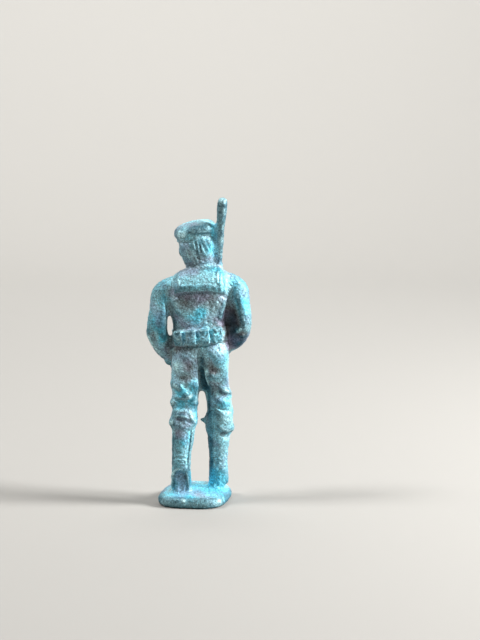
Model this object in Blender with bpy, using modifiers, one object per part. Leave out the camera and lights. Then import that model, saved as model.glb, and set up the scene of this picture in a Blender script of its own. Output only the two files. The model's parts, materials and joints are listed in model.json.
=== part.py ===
"""Cast metal toy sailor, marching with a rifle at the right shoulder on a mounded oval base.

The origin is the middle of the base's underside. The figure faces -Y, and +X is towards its left hand.
Each sculpted piece is one closed object, and pieces that meet keep a gap of SEAM between them.
"""

import math
from collections import namedtuple

import bmesh
import bpy
import numpy as np
from mathutils import Matrix, Vector

MM = 0.001

# Clearance between two pieces that meet
SEAM = 0.06 * MM

# Base: a rounded oblong with a soft rim and a broad mound that the shoes sink into
BASE_WIDTH = 9.9 * MM
BASE_LENGTH = 11.4 * MM
BASE_TURN = math.radians(-11)
BASE_RIM = 1.1 * MM
BASE_MOUND = 0.85 * MM
BASE_EDGE = 0.3 * MM

# Where the body's middle stands on the base
BODY_X = -0.75 * MM
BODY_Y = 1.4 * MM

# Shoes: each heel's place from the body's middle, and how far the toes turn out
SHOE_LENGTH = 4.4 * MM
SHOE_WIDTH = 2.0 * MM
SHOE_HEIGHT = 3.2 * MM
SHOE_SINK = 0.3 * MM
TOE_OUT = math.radians(7)
LEFT_HEEL_OUT = 2.72 * MM
LEFT_HEEL_BACK = 2.3 * MM
RIGHT_HEEL_OUT = 2.65 * MM
RIGHT_HEEL_BACK = -0.5 * MM

# Leggings: heights above the ground that the shoes stand on
LEGGING_HEM = 0.35 * MM
ANKLE_HEIGHT = 4.6 * MM
ANKLE_WIDTH = 2.5 * MM
CALF_WIDTH = 3.0 * MM
LEGGING_TOP_WIDTH = 3.15 * MM
HEEL_TO_ANKLE = 1.15 * MM
LACE_STRIP = 0.14 * MM
ANKLE_BAND = 0.08 * MM
HEEL_ARCH_WIDTH = 1.75 * MM
HEEL_ARCH_DEPTH = 0.2 * MM
LEFT_ARCH_HEIGHT = 3.4 * MM
RIGHT_ARCH_HEIGHT = 1.6 * MM

# Trousers: bloused over the leggings, with rolls of cloth down each leg
LEFT_BLOUSE = 8.85 * MM
RIGHT_BLOUSE = 7.75 * MM
KNEE_HEIGHT = 11.45 * MM
HIP_HEIGHT = 19.65 * MM
BLOUSE_WIDTH = 3.7 * MM
KNEE_WIDTH = 3.5 * MM
THIGH_WIDTH = 4.0 * MM
HIP_WIDTH = 8.2 * MM
HIP_DEPTH = 5.2 * MM
LEFT_KNEE_OUT = 2.15 * MM
LEFT_KNEE_BACK = 0.25 * MM
RIGHT_KNEE_OUT = 2.72 * MM
RIGHT_KNEE_BACK = -0.85 * MM
SEAT_OVERLAP = 0.55 * MM
THIGH_OVERLAP = 0.25 * MM
FOLD_RISE = 0.28 * MM
YOKE_HEIGHT = 1.4 * MM
FLASH_REACH = 1.0 * MM
FLASH_DROP = 1.7 * MM

# Jumper: levels above the belt's top
WAIST_WIDTH = 7.5 * MM
WAIST_DEPTH = 4.5 * MM
CHEST_WIDTH = 8.6 * MM
CHEST_DEPTH = 5.0 * MM
CHEST_RISE = 4.7 * MM
SHOULDER_RISE = 6.9 * MM
NECK_RISE = 8.1 * MM
NECK_WIDTH = 3.5 * MM
NECK_DEPTH = 2.7 * MM
BODY_TILT = math.radians(5)

# Cartridge belt
BELT_HEIGHT = 2.0 * MM
BELT_THICKNESS = 0.3 * MM
POUCH_WIDTH = 1.42 * MM
POUCH_HEIGHT = 2.15 * MM
POUCH_DEPTH = 0.5 * MM
POUCH_PITCH = 1.78 * MM
POUCH_ROUND = 0.12 * MM
POUCH_SHIFT = 0.3 * MM
FLAP_RISE = 0.12 * MM
BACK_POUCHES = 4
FRONT_POUCHES = 2
BUCKLE_WIDTH = 1.5 * MM
BUCKLE_HEIGHT = 1.5 * MM
BUCKLE_DEPTH = 0.3 * MM

# Collar and neckerchief
COLLAR_WIDTH = 7.1 * MM
COLLAR_DROP = 2.85 * MM
COLLAR_THICKNESS = 0.3 * MM
COLLAR_LAP = 0.2 * MM
COLLAR_ARCH = 0.4 * MM
TAPE_INSET = 0.8 * MM
TAPE_WIDTH = 0.28 * MM
TAPE_RISE = 0.12 * MM
LAPEL_DROP = 4.3 * MM
LAPEL_EDGE = 1.3 * MM
LAPEL_OPENING = 2.2 * MM
KERCHIEF_LENGTH = 3.2 * MM
KERCHIEF_WIDTH = 2.0 * MM
KERCHIEF_KNOT = 0.9 * MM
KERCHIEF_THICKNESS = 0.42 * MM

# Head, hair and cap
HEAD_WIDTH = 4.7 * MM
HEAD_DEPTH = 5.4 * MM
HEAD_HEIGHT = 4.0 * MM
HEAD_FORWARD = 0.7 * MM
HEAD_SIDE = 0.2 * MM
HEAD_TURN = math.radians(10)
HAIR_THICKNESS = 0.26 * MM
HAIR_NAPE = 0.7 * MM
HAIR_EDGE = 0.6 * MM
NOSE_WIDTH = 0.75 * MM
NOSE_REACH = 0.55 * MM
EAR_HEIGHT = 1.25 * MM
EAR_LENGTH = 0.75 * MM
EAR_REACH = 0.2 * MM
EYE_WIDTH = 0.95 * MM
EYE_SPACING = 1.75 * MM
BAND_WIDTH = 5.3 * MM
BAND_HEIGHT = 0.75 * MM
CROWN_WIDTH = 6.05 * MM
CROWN_HEIGHT = 2.4 * MM
CROWN_DROOP = math.radians(7)
CROWN_SLIP = -0.2 * MM
CAP_OVAL = 1.06

# Arms: shoulders out from the chest's side, elbows and wrists from the waist's side, all up from the belt's top
SLEEVE_WIDTH = 2.85 * MM
ELBOW_WIDTH = 2.75 * MM
WRIST_WIDTH = 1.9 * MM
SHOULDER_INSET = 1.5 * MM
SLEEVE_FOLD = 0.1 * MM
CUFF_LENGTH = 0.9 * MM
CUFF_WIDTH = 2.05 * MM
HAND_WIDTH = 1.65 * MM
HAND_LENGTH = 2.0 * MM
SHOULDER_BACK = 0.1 * MM
LEFT_SHOULDER_OUT = 0.6 * MM
LEFT_SHOULDER_UP = 5.7 * MM
LEFT_ELBOW_OUT = 2.6 * MM
LEFT_ELBOW_BACK = 0.75 * MM
LEFT_ELBOW_UP = -0.75 * MM
LEFT_WRIST_OUT = 0.5 * MM
LEFT_WRIST_BACK = -2.6 * MM
LEFT_WRIST_UP = -4.4 * MM
RIGHT_SHOULDER_OUT = 0.65 * MM
RIGHT_SHOULDER_UP = 6.25 * MM
RIGHT_ELBOW_OUT = 2.5 * MM
RIGHT_ELBOW_BACK = 1.0 * MM
RIGHT_ELBOW_UP = -0.2 * MM
RIGHT_WRIST_OUT = 0.05 * MM
RIGHT_WRIST_BACK = -3.1 * MM
RIGHT_WRIST_UP = -3.1 * MM
LEFT_GRASP = Vector((-0.45, -0.6, -0.66))
RIGHT_GRASP = Vector((0.8, -0.5, -0.3))

# Rifle: ends measured from the middle of the belt's top, the butt also from the waist's front
BUTT_OUT = 1.75 * MM
BUTT_AHEAD = 2.75 * MM
BUTT_DOWN = 2.8 * MM
MUZZLE_OUT = 3.2 * MM
MUZZLE_BACK = 2.9 * MM
MUZZLE_UP = 18.25 * MM
BARREL_WIDTH = 1.12 * MM
MUZZLE_WIDTH = 1.4 * MM
STOCK_WIDTH = 1.3 * MM
BUTT_DEPTH = 2.2 * MM
STOCK_SHARE = 0.56

# Heights that the sizes above add up to
GROUND = BASE_RIM + BASE_MOUND
HIP = GROUND + HIP_HEIGHT
WAIST = HIP + YOKE_HEIGHT
BELT_TOP = WAIST + BELT_HEIGHT
NECK = BELT_TOP + NECK_RISE

X_AXIS = Vector((1, 0, 0))
Y_AXIS = Vector((0, 1, 0))
Z_AXIS = Vector((0, 0, 1))
WAIST_POWER = 2.6

# Middles of the rolls of cloth, as shares of a trouser leg's height
LEFT_FOLDS = (0.09, 0.36, 0.58)
RIGHT_FOLDS = (0.07, 0.28, 0.48)

# at: middle of a section; wide: half its width; front and back: its half depths; tilt: about Y
Section = namedtuple("Section", "at wide front back tilt", defaults=(0.0,))
Leg = namedtuple("Leg", "name side heel knee blouse folds arch")
Arm = namedtuple("Arm", "name shoulder elbow wrist grasp")

LEFT, RIGHT = 1, -1


def place(side, out, back, up=0.0):
    """Point on one side of the body's middle."""
    return Vector((side * out, back, up))


def leg_of(name, side, heel, knee, *rest):
    return Leg(name, side, place(side, *heel), place(side, *knee), *rest)


def arm_of(name, side, shoulder, elbow, wrist, grasp):
    """An arm, its joints' distances out counted from the side of the chest or waist."""
    chest, waist = CHEST_WIDTH / 2, WAIST_WIDTH / 2
    return Arm(
        name,
        place(side, chest + shoulder[0], SHOULDER_BACK, shoulder[1]),
        place(side, waist + elbow[0], *elbow[1:]),
        place(side, waist + wrist[0], *wrist[1:]),
        grasp,
    )


LEFT_LEG = leg_of(
    "left", LEFT, (LEFT_HEEL_OUT, LEFT_HEEL_BACK), (LEFT_KNEE_OUT, LEFT_KNEE_BACK),
    LEFT_BLOUSE, LEFT_FOLDS, LEFT_ARCH_HEIGHT,
)
RIGHT_LEG = leg_of(
    "right", RIGHT, (RIGHT_HEEL_OUT, RIGHT_HEEL_BACK), (RIGHT_KNEE_OUT, RIGHT_KNEE_BACK),
    RIGHT_BLOUSE, RIGHT_FOLDS, RIGHT_ARCH_HEIGHT,
)
LEFT_ARM = arm_of(
    "left", LEFT, (LEFT_SHOULDER_OUT, LEFT_SHOULDER_UP), (LEFT_ELBOW_OUT, LEFT_ELBOW_BACK, LEFT_ELBOW_UP),
    (LEFT_WRIST_OUT, LEFT_WRIST_BACK, LEFT_WRIST_UP), LEFT_GRASP,
)
RIGHT_ARM = arm_of(
    "right", RIGHT, (RIGHT_SHOULDER_OUT, RIGHT_SHOULDER_UP), (RIGHT_ELBOW_OUT, RIGHT_ELBOW_BACK, RIGHT_ELBOW_UP),
    (RIGHT_WRIST_OUT, RIGHT_WRIST_BACK, RIGHT_WRIST_UP), RIGHT_GRASP,
)
BUTT = place(RIGHT, BUTT_OUT, -WAIST_DEPTH / 2 - BUTT_AHEAD, -BUTT_DOWN)
MUZZLE = place(RIGHT, MUZZLE_OUT, MUZZLE_BACK, MUZZLE_UP)


# Building

def new_collection(name):
    made = bpy.data.collections.new(name)
    bpy.context.scene.collection.children.link(made)
    return made


def patinated_metal(name, colour, roughness):
    """Casting metal under one shade of patina."""
    material = bpy.data.materials.new(name)
    material.use_nodes = True
    shader = material.node_tree.nodes["Principled BSDF"]
    shader.inputs["Base Color"].default_value = (*colour, 1.0)
    shader.inputs["Roughness"].default_value = roughness
    shader.inputs["Metallic"].default_value = 0.6
    return material


def new_object(name, body, group, parent):
    mesh = bpy.data.meshes.new(name)
    bmesh.ops.recalc_face_normals(body, faces=body.faces)
    body.to_mesh(mesh)
    body.free()
    made = bpy.data.objects.new(name, mesh)
    group.objects.link(made)
    made.parent = parent
    return made


def add_part(name, body, material, parent):
    """A named piece of the figure."""
    part = new_object(name, body, PARTS, parent)
    part.data.shade_smooth()
    part.data.set_sharp_from_angle(angle=math.radians(40))
    part.data.materials.append(material)
    return part


def add_cutter(name, body, parent):
    """A hidden solid that shapes other pieces."""
    cutter = new_object(name, body, CUTTERS, parent)
    cutter.hide_render = True
    cutter.display_type = "WIRE"
    return cutter


def add_frame(name, matrix, parent=None):
    """Empty that carries pieces built round their own origin."""
    empty = bpy.data.objects.new(name, None)
    PARTS.objects.link(empty)
    empty.parent = parent
    empty.matrix_basis = matrix
    return empty


def shape(part, operation, *others):
    """Booleans a piece with each of the others in turn."""
    for other in others:
        modifier = part.modifiers.new(f"{operation.lower()} {other.name}", "BOOLEAN")
        modifier.operation = operation
        modifier.object = other
        modifier.solver = "EXACT"


def smoothed(keys, count):
    """count sections on a smooth run through the key sections."""
    rows = np.array([[*key.at, key.wide, key.front, key.back, key.tilt] for key in keys])
    steps = np.linalg.norm(np.diff(rows[:, :3], axis=0), axis=1)
    along = np.concatenate([[0], np.cumsum(steps)])
    slopes = np.gradient(rows, along, axis=0)
    made = []
    for place in np.linspace(0, along[-1], count):
        i = min(np.searchsorted(along, place, side="right") - 1, len(keys) - 2)
        span = along[i + 1] - along[i]
        t = (place - along[i]) / span
        row = (
            (2 * t**3 - 3 * t**2 + 1) * rows[i]
            + (t**3 - 2 * t**2 + t) * span * slopes[i]
            + (3 * t**2 - 2 * t**3) * rows[i + 1]
            + (t**3 - t**2) * span * slopes[i + 1]
        )
        made.append(Section(Vector(row[:3]), *row[3:]))
    return made


def signed_power(value, power):
    return math.copysign(abs(value) ** power, value)


def loft(sections, sides=20, power=2.4, path=False, reference=X_AXIS, swell=None, grow=0.0):
    """Closed solid through superellipse sections: level ones or, with path, ones square to their line.

    swell(along, angle) adds to the radius, and grow moves every face out.
    """
    body = bmesh.new()
    last = len(sections) - 1
    rings = []
    for i, section in enumerate(sections):
        run = (sections[min(i + 1, last)].at - sections[max(i - 1, 0)].at).normalized()
        side = Vector((math.cos(section.tilt), 0, -math.sin(section.tilt)))
        depth = Y_AXIS
        if path:
            side = (reference - run * reference.dot(run)).normalized()
            depth = run.cross(side)
        at = section.at + run * grow * ((i == last) - (i == 0))
        ring = []
        for k in range(sides):
            angle = 2 * math.pi * (k + 0.5) / sides
            more = grow + (swell(i / last, angle) if swell else 0.0)
            across = signed_power(math.cos(angle), 2 / power) * (section.wide + more)
            half_depth = section.back if math.sin(angle) > 0 else section.front
            deep = signed_power(math.sin(angle), 2 / power) * (half_depth + more)
            ring.append(body.verts.new(at + side * across + depth * deep))
        rings.append(ring)
    for lower, upper in zip(rings, rings[1:]):
        for k in range(sides):
            body.faces.new((lower[k - 1], lower[k], upper[k], upper[k - 1]))
    body.faces.new(rings[0])
    body.faces.new(rings[-1])
    return body


def trimmed(body, point, normal):
    """The part of a solid behind a plane, closed again there."""
    everything = body.verts[:] + body.edges[:] + body.faces[:]
    cut = bmesh.ops.bisect_plane(body, geom=everything, plane_co=point, plane_no=normal, clear_outer=True)
    rim = [item for item in cut["geom_cut"] if isinstance(item, bmesh.types.BMEdge)]
    bmesh.ops.edgeloop_fill(body, edges=rim)
    return body


def prism(outline, near, far):
    """Solid of an outline in X and Z, from Y near to Y far."""
    body = bmesh.new()
    face = body.faces.new([body.verts.new((x, near, z)) for x, z in outline])
    made = bmesh.ops.extrude_face_region(body, geom=[face])
    moved = [item for item in made["geom"] if isinstance(item, bmesh.types.BMVert)]
    bmesh.ops.translate(body, verts=moved, vec=(0, far - near, 0))
    return body


def rounded_box(size, radius):
    """Box with rounded edges, its back face on Y = 0 and reaching to +Y."""
    body = bmesh.new()
    bmesh.ops.create_cube(body, size=1.0)
    bmesh.ops.scale(body, vec=size, verts=body.verts)
    bmesh.ops.bevel(body, geom=body.edges[:], offset=radius, segments=2, affect="EDGES", profile=0.5)
    bmesh.ops.translate(body, vec=(0, size[1] / 2, 0), verts=body.verts)
    return body


def ellipsoid(at, size):
    body = bmesh.new()
    bmesh.ops.create_uvsphere(body, u_segments=12, v_segments=8, radius=0.5)
    bmesh.ops.scale(body, vec=size, verts=body.verts)
    bmesh.ops.translate(body, vec=at, verts=body.verts)
    return body


def hull(points):
    body = bmesh.new()
    for point in points:
        body.verts.new(point)
    bmesh.ops.convex_hull(body, input=body.verts)
    return body


# Base

def base_solid(grow=0.0):
    """Rounded oblong: soft lower edge, upright rim, then a mound that is broad on top."""
    levels = [(0.0, BASE_EDGE), (BASE_EDGE, 0.0), (BASE_RIM - BASE_EDGE, 0.0)]
    reach = 0.85 * BASE_WIDTH / 2
    for share in (0.03, 0.1, 0.2, 0.35, 0.6, 1.0):
        height = BASE_RIM + BASE_MOUND * (1 - (1 - share) ** 4)
        levels.append((height, share * reach))
    sections = []
    for height, inset in levels:
        deep = BASE_LENGTH / 2 - inset
        sections.append(Section(Z_AXIS * height, BASE_WIDTH / 2 - inset, deep, deep))
    body = loft(sections, sides=36, power=3.3, grow=grow)
    bmesh.ops.rotate(body, verts=body.verts, matrix=Matrix.Rotation(BASE_TURN, 3, "Z"))
    return body


# Legs

def leg_point(leg, height):
    """Middle of a leg at a height above the ground, on the line from ankle to knee."""
    ankle = leg.heel + Vector((0, -HEEL_TO_ANKLE, ANKLE_HEIGHT))
    knee = leg.knee + Z_AXIS * KNEE_HEIGHT
    share = (height - ANKLE_HEIGHT) / (KNEE_HEIGHT - ANKLE_HEIGHT)
    return ankle.lerp(knee, share) + Z_AXIS * GROUND


def shoe_solid(leg, grow=0.0):
    """Shoe from heel to toe, its sole sunk a little into the mound."""
    core = SHOE_HEIGHT / 3
    # Share of the length, then half width, height above and below the core line
    profile = [
        (0.0, 0.30, 1.55, 0.85),
        (0.05, 0.38, 1.85, 1.0),
        (0.25, 0.42, 2.0, 1.0),
        (0.45, 0.40, 1.35, 1.0),
        (0.68, 0.50, 0.72, 1.0),
        (0.90, 0.40, 0.45, 0.95),
        (1.0, 0.18, 0.15, 0.7),
    ]
    toe = Vector((leg.side * math.sin(TOE_OUT), -math.cos(TOE_OUT), 0)) * SHOE_LENGTH
    heel = leg.heel + Z_AXIS * (GROUND + core - SHOE_SINK)
    keys = [
        Section(heel + toe * share, wide * SHOE_WIDTH, below * core, above * core)
        for share, wide, above, below in profile
    ]
    return loft(smoothed(keys, 13), sides=16, power=2.5, path=True, grow=grow)


def legging_solid(leg):
    """Legging: flared hem over the shoe, ankle band, calf, and a lace strip down its inner side."""
    ankle = leg_point(leg, ANKLE_HEIGHT)
    hem = ankle + Z_AXIS * (LEGGING_HEM - ANKLE_HEIGHT)
    top = leg_point(leg, leg.blouse) - Z_AXIS * SEAM
    keys = [
        Section(hem, 0.56 * ANKLE_WIDTH, 0.80 * ANKLE_WIDTH, 0.56 * ANKLE_WIDTH),
        Section(hem.lerp(ankle, 0.45), 0.54 * ANKLE_WIDTH, 0.66 * ANKLE_WIDTH, 0.54 * ANKLE_WIDTH),
        Section(ankle, ANKLE_WIDTH / 2, ANKLE_WIDTH / 2, ANKLE_WIDTH / 2),
        Section(ankle.lerp(top, 0.6), CALF_WIDTH / 2, CALF_WIDTH / 2, CALF_WIDTH / 2),
        Section(top, LEGGING_TOP_WIDTH / 2, LEGGING_TOP_WIDTH / 2, LEGGING_TOP_WIDTH / 2),
    ]
    band_at = (ANKLE_HEIGHT - LEGGING_HEM) / (leg.blouse - LEGGING_HEM)
    strip_at = math.pi / 2 + leg.side * math.radians(62)
    strip_half = math.radians(24)

    def strip_and_band(along, angle):
        off = abs(math.remainder(angle - strip_at, 2 * math.pi))
        band = ANKLE_BAND * math.exp(-(((along - band_at) / 0.05) ** 2))
        return band + (LACE_STRIP if off < strip_half else 0.0)

    return loft(smoothed(keys, 14), sides=20, power=2.1, swell=strip_and_band)


def heel_arch(leg):
    """Cutter for the arched opening at the back of a legging's hem."""
    half = HEEL_ARCH_WIDTH / 2
    spring = GROUND + leg.arch - half
    outline = [(leg.heel.x - half, GROUND - SHOE_SINK), (leg.heel.x + half, GROUND - SHOE_SINK)]
    steps = 10
    for step in range(steps + 1):
        turn = math.pi * step / steps
        outline.append((leg.heel.x + half * math.cos(turn), spring + half * math.sin(turn)))
    return prism(outline, leg.heel.y - HEEL_ARCH_DEPTH, leg.heel.y + ANKLE_WIDTH)


def trouser_solid(leg, grow=0.0):
    """One trouser leg from the bloused hem to the yoke, with rolls of cloth around the knee."""
    hem = leg_point(leg, leg.blouse)
    knee = leg.knee + Z_AXIS * (GROUND + KNEE_HEIGHT)
    hip = place(leg.side, HIP_WIDTH / 4 - SEAT_OVERLAP / 2, 0, HIP)
    thigh = knee.lerp(hip, 0.55)
    thigh.x = leg.side * (THIGH_WIDTH - THIGH_OVERLAP) / 2
    seat, lap = HIP_WIDTH / 4 + SEAT_OVERLAP / 2, (THIGH_WIDTH + THIGH_OVERLAP) / 2
    keys = [
        Section(hem, 0.46 * BLOUSE_WIDTH, 0.46 * BLOUSE_WIDTH, 0.46 * BLOUSE_WIDTH),
        Section(hem.lerp(knee, 0.4), BLOUSE_WIDTH / 2, BLOUSE_WIDTH / 2, BLOUSE_WIDTH / 2),
        Section(knee, KNEE_WIDTH / 2, 0.53 * KNEE_WIDTH, KNEE_WIDTH / 2),
        Section(thigh, lap, 0.56 * THIGH_WIDTH, 0.56 * THIGH_WIDTH),
        Section(hip, seat, HIP_DEPTH / 2, HIP_DEPTH / 2),
    ]

    def rolls(along, angle):
        outer_or_back = 0.65 + 0.35 * max(math.sin(angle), leg.side * math.cos(angle))
        total = sum(math.exp(-(((along - fold) / 0.055) ** 2)) for fold in leg.folds)
        return FOLD_RISE * outer_or_back * total

    body = loft(smoothed(keys, 23), sides=20, power=2.3, swell=rolls, grow=grow)
    return trimmed(body, X_AXIS * leg.side * (SEAM / 2 - grow), -X_AXIS * leg.side)


def casting_flash():
    """Wedge of flash metal left on the inside of the right leg."""
    middle = leg_point(RIGHT_LEG, KNEE_HEIGHT - FLASH_DROP)
    inner = middle + X_AXIS * 0.3 * BLOUSE_WIDTH
    tip = middle + X_AXIS * (BLOUSE_WIDTH / 2 + FLASH_REACH)
    points = []
    for at, thick, tall in ((inner, 0.2, 0.5), (tip, 0.16, 0.3)):
        for y in (-thick, thick):
            for z in (-tall, tall):
                points.append(at + Vector((0, y, z)) * FLASH_REACH)
    return hull(points)


# Trunk

def yoke_solid(grow=0.0):
    """Seat of the trousers, between the belt and the two legs."""
    floor, top = HIP + SEAM, WAIST - SEAM
    half_way = (floor + top) / 2
    keys = [
        Section(Z_AXIS * floor, HIP_WIDTH / 2, HIP_DEPTH / 2, HIP_DEPTH / 2),
        Section(Z_AXIS * half_way, 0.49 * HIP_WIDTH, 0.49 * HIP_DEPTH, 0.49 * HIP_DEPTH, BODY_TILT / 2),
        Section(Z_AXIS * top, WAIST_WIDTH / 2, WAIST_DEPTH / 2, WAIST_DEPTH / 2, BODY_TILT),
    ]
    return loft(smoothed(keys, 5), sides=28, power=WAIST_POWER, grow=grow)


def jumper_solid(grow=0.0):
    """Jumper from under the belt to the seat of the neck, with sloping shoulders."""
    waist_to_chest = (WAIST_WIDTH + CHEST_WIDTH) / 2
    slope = NECK_RISE - SHOULDER_RISE
    # Rise above the belt's top, width, depth in front and behind
    profile = [
        (-BELT_HEIGHT, WAIST_WIDTH, WAIST_DEPTH, WAIST_DEPTH),
        (0.0, WAIST_WIDTH, WAIST_DEPTH, WAIST_DEPTH),
        (0.5 * CHEST_RISE, waist_to_chest, 0.98 * CHEST_DEPTH, 0.95 * CHEST_DEPTH),
        (CHEST_RISE, CHEST_WIDTH, 1.02 * CHEST_DEPTH, CHEST_DEPTH),
        (SHOULDER_RISE, CHEST_WIDTH, 0.84 * CHEST_DEPTH, 0.90 * CHEST_DEPTH),
        (SHOULDER_RISE + 0.55 * slope, 0.86 * CHEST_WIDTH, 0.70 * CHEST_DEPTH, 0.76 * CHEST_DEPTH),
        (SHOULDER_RISE + 0.85 * slope, 0.66 * CHEST_WIDTH, 0.6 * CHEST_DEPTH, 0.64 * CHEST_DEPTH),
        (NECK_RISE, 1.06 * NECK_WIDTH, 1.06 * NECK_DEPTH, 1.06 * NECK_DEPTH),
    ]
    keys = [
        Section(Z_AXIS * (BELT_TOP + rise), width / 2, front / 2, back / 2, BODY_TILT)
        for rise, width, front, back in profile
    ]
    return loft(smoothed(keys, 17), sides=28, power=WAIST_POWER, grow=grow)


def waist_solid(out):
    """Solid of the waist's section, moved out, over the belt's height."""
    sections = [
        Section(Z_AXIS * height, WAIST_WIDTH / 2 + out, WAIST_DEPTH / 2 + out, WAIST_DEPTH / 2 + out, BODY_TILT)
        for height in (WAIST, BELT_TOP)
    ]
    return loft(sections, sides=28, power=WAIST_POWER)


def on_belt(angle):
    """Place on the belt's outer face, by angle from the back's middle, and the way it faces there."""
    bend = 2 / WAIST_POWER
    half_width = WAIST_WIDTH / 2 + BELT_THICKNESS
    half_depth = WAIST_DEPTH / 2 + BELT_THICKNESS
    across, behind = math.sin(angle), math.cos(angle)
    x = signed_power(across, bend) * half_width
    y = signed_power(behind, bend) * half_depth
    facing = Vector((signed_power(across, 2 - bend) / half_width, signed_power(behind, 2 - bend) / half_depth))
    return Vector((x, y, 0)), facing.normalized()


def belt_frame(distance, from_front=False):
    """Frame on the belt a distance round from the back's or front's middle, facing out along +Y."""
    start = math.pi if from_front else 0.0
    turn = -1 if from_front else 1
    step = math.copysign(math.radians(0.5), distance) * turn
    angle, run = start, 0.0
    at, facing = on_belt(angle)
    while run < abs(distance):
        angle += step
        after, facing = on_belt(angle)
        run += (after - at).length
        at = after
    out = Vector((facing.x, facing.y, 0))
    middle = Z_AXIS * (WAIST + BELT_TOP) / 2
    tilt = Matrix.Rotation(BODY_TILT, 4, "Y")
    yaw = Matrix.Rotation(math.atan2(-facing.x, facing.y), 4, "Z")
    return Matrix.Translation(middle) @ tilt @ Matrix.Translation(at + out * SEAM) @ yaw


def pouch_mesh():
    """Cartridge pouch with a pointed flap, its back on Y = 0."""
    size = (POUCH_WIDTH, POUCH_DEPTH, POUCH_HEIGHT)
    pouch = add_cutter("pouch_body", rounded_box(size, POUCH_ROUND), None)
    half, top, point = 0.45 * POUCH_WIDTH, 0.43 * POUCH_HEIGHT, 0.16 * POUCH_HEIGHT
    outline = [(-half, top), (half, top), (half, point), (0, -point), (-half, point)]
    flap = add_cutter("pouch_flap", prism(outline, POUCH_DEPTH / 2, POUCH_DEPTH + FLAP_RISE), None)
    shape(pouch, "UNION", flap)
    graph = bpy.context.evaluated_depsgraph_get()
    mesh = bpy.data.meshes.new_from_object(pouch.evaluated_get(graph))
    mesh.materials.append(GEAR)
    return mesh


def add_pouch(name, mesh, matrix):
    """One pouch on the belt."""
    made = bpy.data.objects.new(name, mesh)
    PARTS.objects.link(made)
    made.parent = body_frame
    made.matrix_basis = matrix
    return made


def add_pouch_room(pouch):
    """The room round a pouch that an arm keeps out of."""
    size = (POUCH_WIDTH + 2 * SEAM, POUCH_DEPTH + FLAP_RISE + SEAM, POUCH_HEIGHT + 2 * SEAM)
    room = add_cutter(f"{pouch.name}_room", rounded_box(size, POUCH_ROUND), body_frame)
    room.matrix_basis = pouch.matrix_basis
    return room


# Collar and neckerchief

def hem_height(share):
    """Height of the collar's hem at a share of its half width."""
    return NECK - COLLAR_DROP - COLLAR_ARCH * share**2


def collar_back():
    """Outline of the square flap behind, its hem a little arched."""
    half, top = COLLAR_WIDTH / 2, NECK + 2 * COLLAR_THICKNESS
    outline = [(share * half, hem_height(share)) for share in (-1, -0.6, 0, 0.6, 1)]
    return prism(outline + [(half, top), (-half, top)], -COLLAR_LAP, CHEST_DEPTH)


def collar_front():
    """Outline of the two lapels, which meet in a point on the chest."""
    half, throat = COLLAR_WIDTH / 2, NECK_WIDTH / 2
    edge, top = NECK - LAPEL_EDGE, NECK + 2 * COLLAR_THICKNESS
    outline = [
        (0, NECK - LAPEL_DROP), (half, edge), (half, top), (throat, top),
        (0, NECK - LAPEL_OPENING), (-throat, top), (-half, top), (-half, edge),
    ]
    return prism(outline, -CHEST_DEPTH, COLLAR_LAP)


def tape_outline():
    """Raised tape on the flap: a strip near each side and one along the hem."""
    half, tape = COLLAR_WIDTH / 2, TAPE_WIDTH / 2
    side, top = half - TAPE_INSET, NECK + 3 * COLLAR_THICKNESS
    outer, inner = side + tape, side - tape
    shares = (-1, -0.5, 0, 0.5, 1)
    lower = [(x * outer, hem_height(x * outer / half) + TAPE_INSET - tape) for x in shares]
    upper = [(-x * inner, hem_height(x * inner / half) + TAPE_INSET + tape) for x in shares]
    outline = lower + [(outer, top), (inner, top)] + upper + [(-inner, top), (-outer, top)]
    return prism(outline, COLLAR_LAP, CHEST_DEPTH)


def kerchief_outline():
    """Knot below the collar's point and two spreading tails."""
    top = NECK - LAPEL_DROP - SEAM
    knot, half = KERCHIEF_KNOT / 2, KERCHIEF_WIDTH / 2
    waist, fork, end = (top - share * KERCHIEF_LENGTH for share in (0.26, 0.62, 0.9))
    right = [(knot, top), (0.6 * knot, waist), (half, end), (0.35 * half, top - KERCHIEF_LENGTH)]
    left = [(-x, z) for x, z in reversed(right)]
    return prism(right + [(0, fork)] + left, -CHEST_DEPTH, 0.0)


# Head and cap, in a frame whose origin is the neck's seat under the head's middle

def head_solid(grow=0.0):
    """Neck, jaw and skull up to the level that carries the cap band."""
    # Share of the height, distance behind the head's middle, width, depth in front and behind
    profile = [
        (0.0, HEAD_FORWARD, NECK_WIDTH, NECK_DEPTH, NECK_DEPTH),
        (0.10, 0.7 * HEAD_FORWARD, 0.97 * NECK_WIDTH, 1.1 * NECK_DEPTH, NECK_DEPTH),
        (0.22, 0.2 * HEAD_FORWARD, 0.78 * HEAD_WIDTH, 0.84 * HEAD_DEPTH, 0.64 * HEAD_DEPTH),
        (0.45, 0.0, 0.90 * HEAD_WIDTH, 0.92 * HEAD_DEPTH, 0.86 * HEAD_DEPTH),
        (0.74, 0.0, HEAD_WIDTH, 0.94 * HEAD_DEPTH, HEAD_DEPTH),
        (1.0, 0.0, HEAD_WIDTH, 0.93 * HEAD_DEPTH, HEAD_DEPTH),
    ]
    keys = [
        Section(Vector((0, behind, share * HEAD_HEIGHT)), width / 2, front / 2, back / 2)
        for share, behind, width, front, back in profile
    ]
    return loft(smoothed(keys, 12), sides=20, power=2.2, grow=grow)


def nose_solid():
    """Wedge from between the brows to the tip, broadest at the nostrils."""
    face = -0.46 * HEAD_DEPTH
    half = NOSE_WIDTH / 2
    rows = [(0.80, 0.4, 0.1), (0.57, 0.5, 0.9), (0.52, 1.0, 0.35), (0.50, 0.9, -0.6), (0.80, 0.5, -0.8)]
    points = []
    for share, wide, reach in rows:
        for side in (-half, half):
            points.append(Vector((side * wide, face - reach * NOSE_REACH, share * HEAD_HEIGHT)))
    return hull(points)


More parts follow.
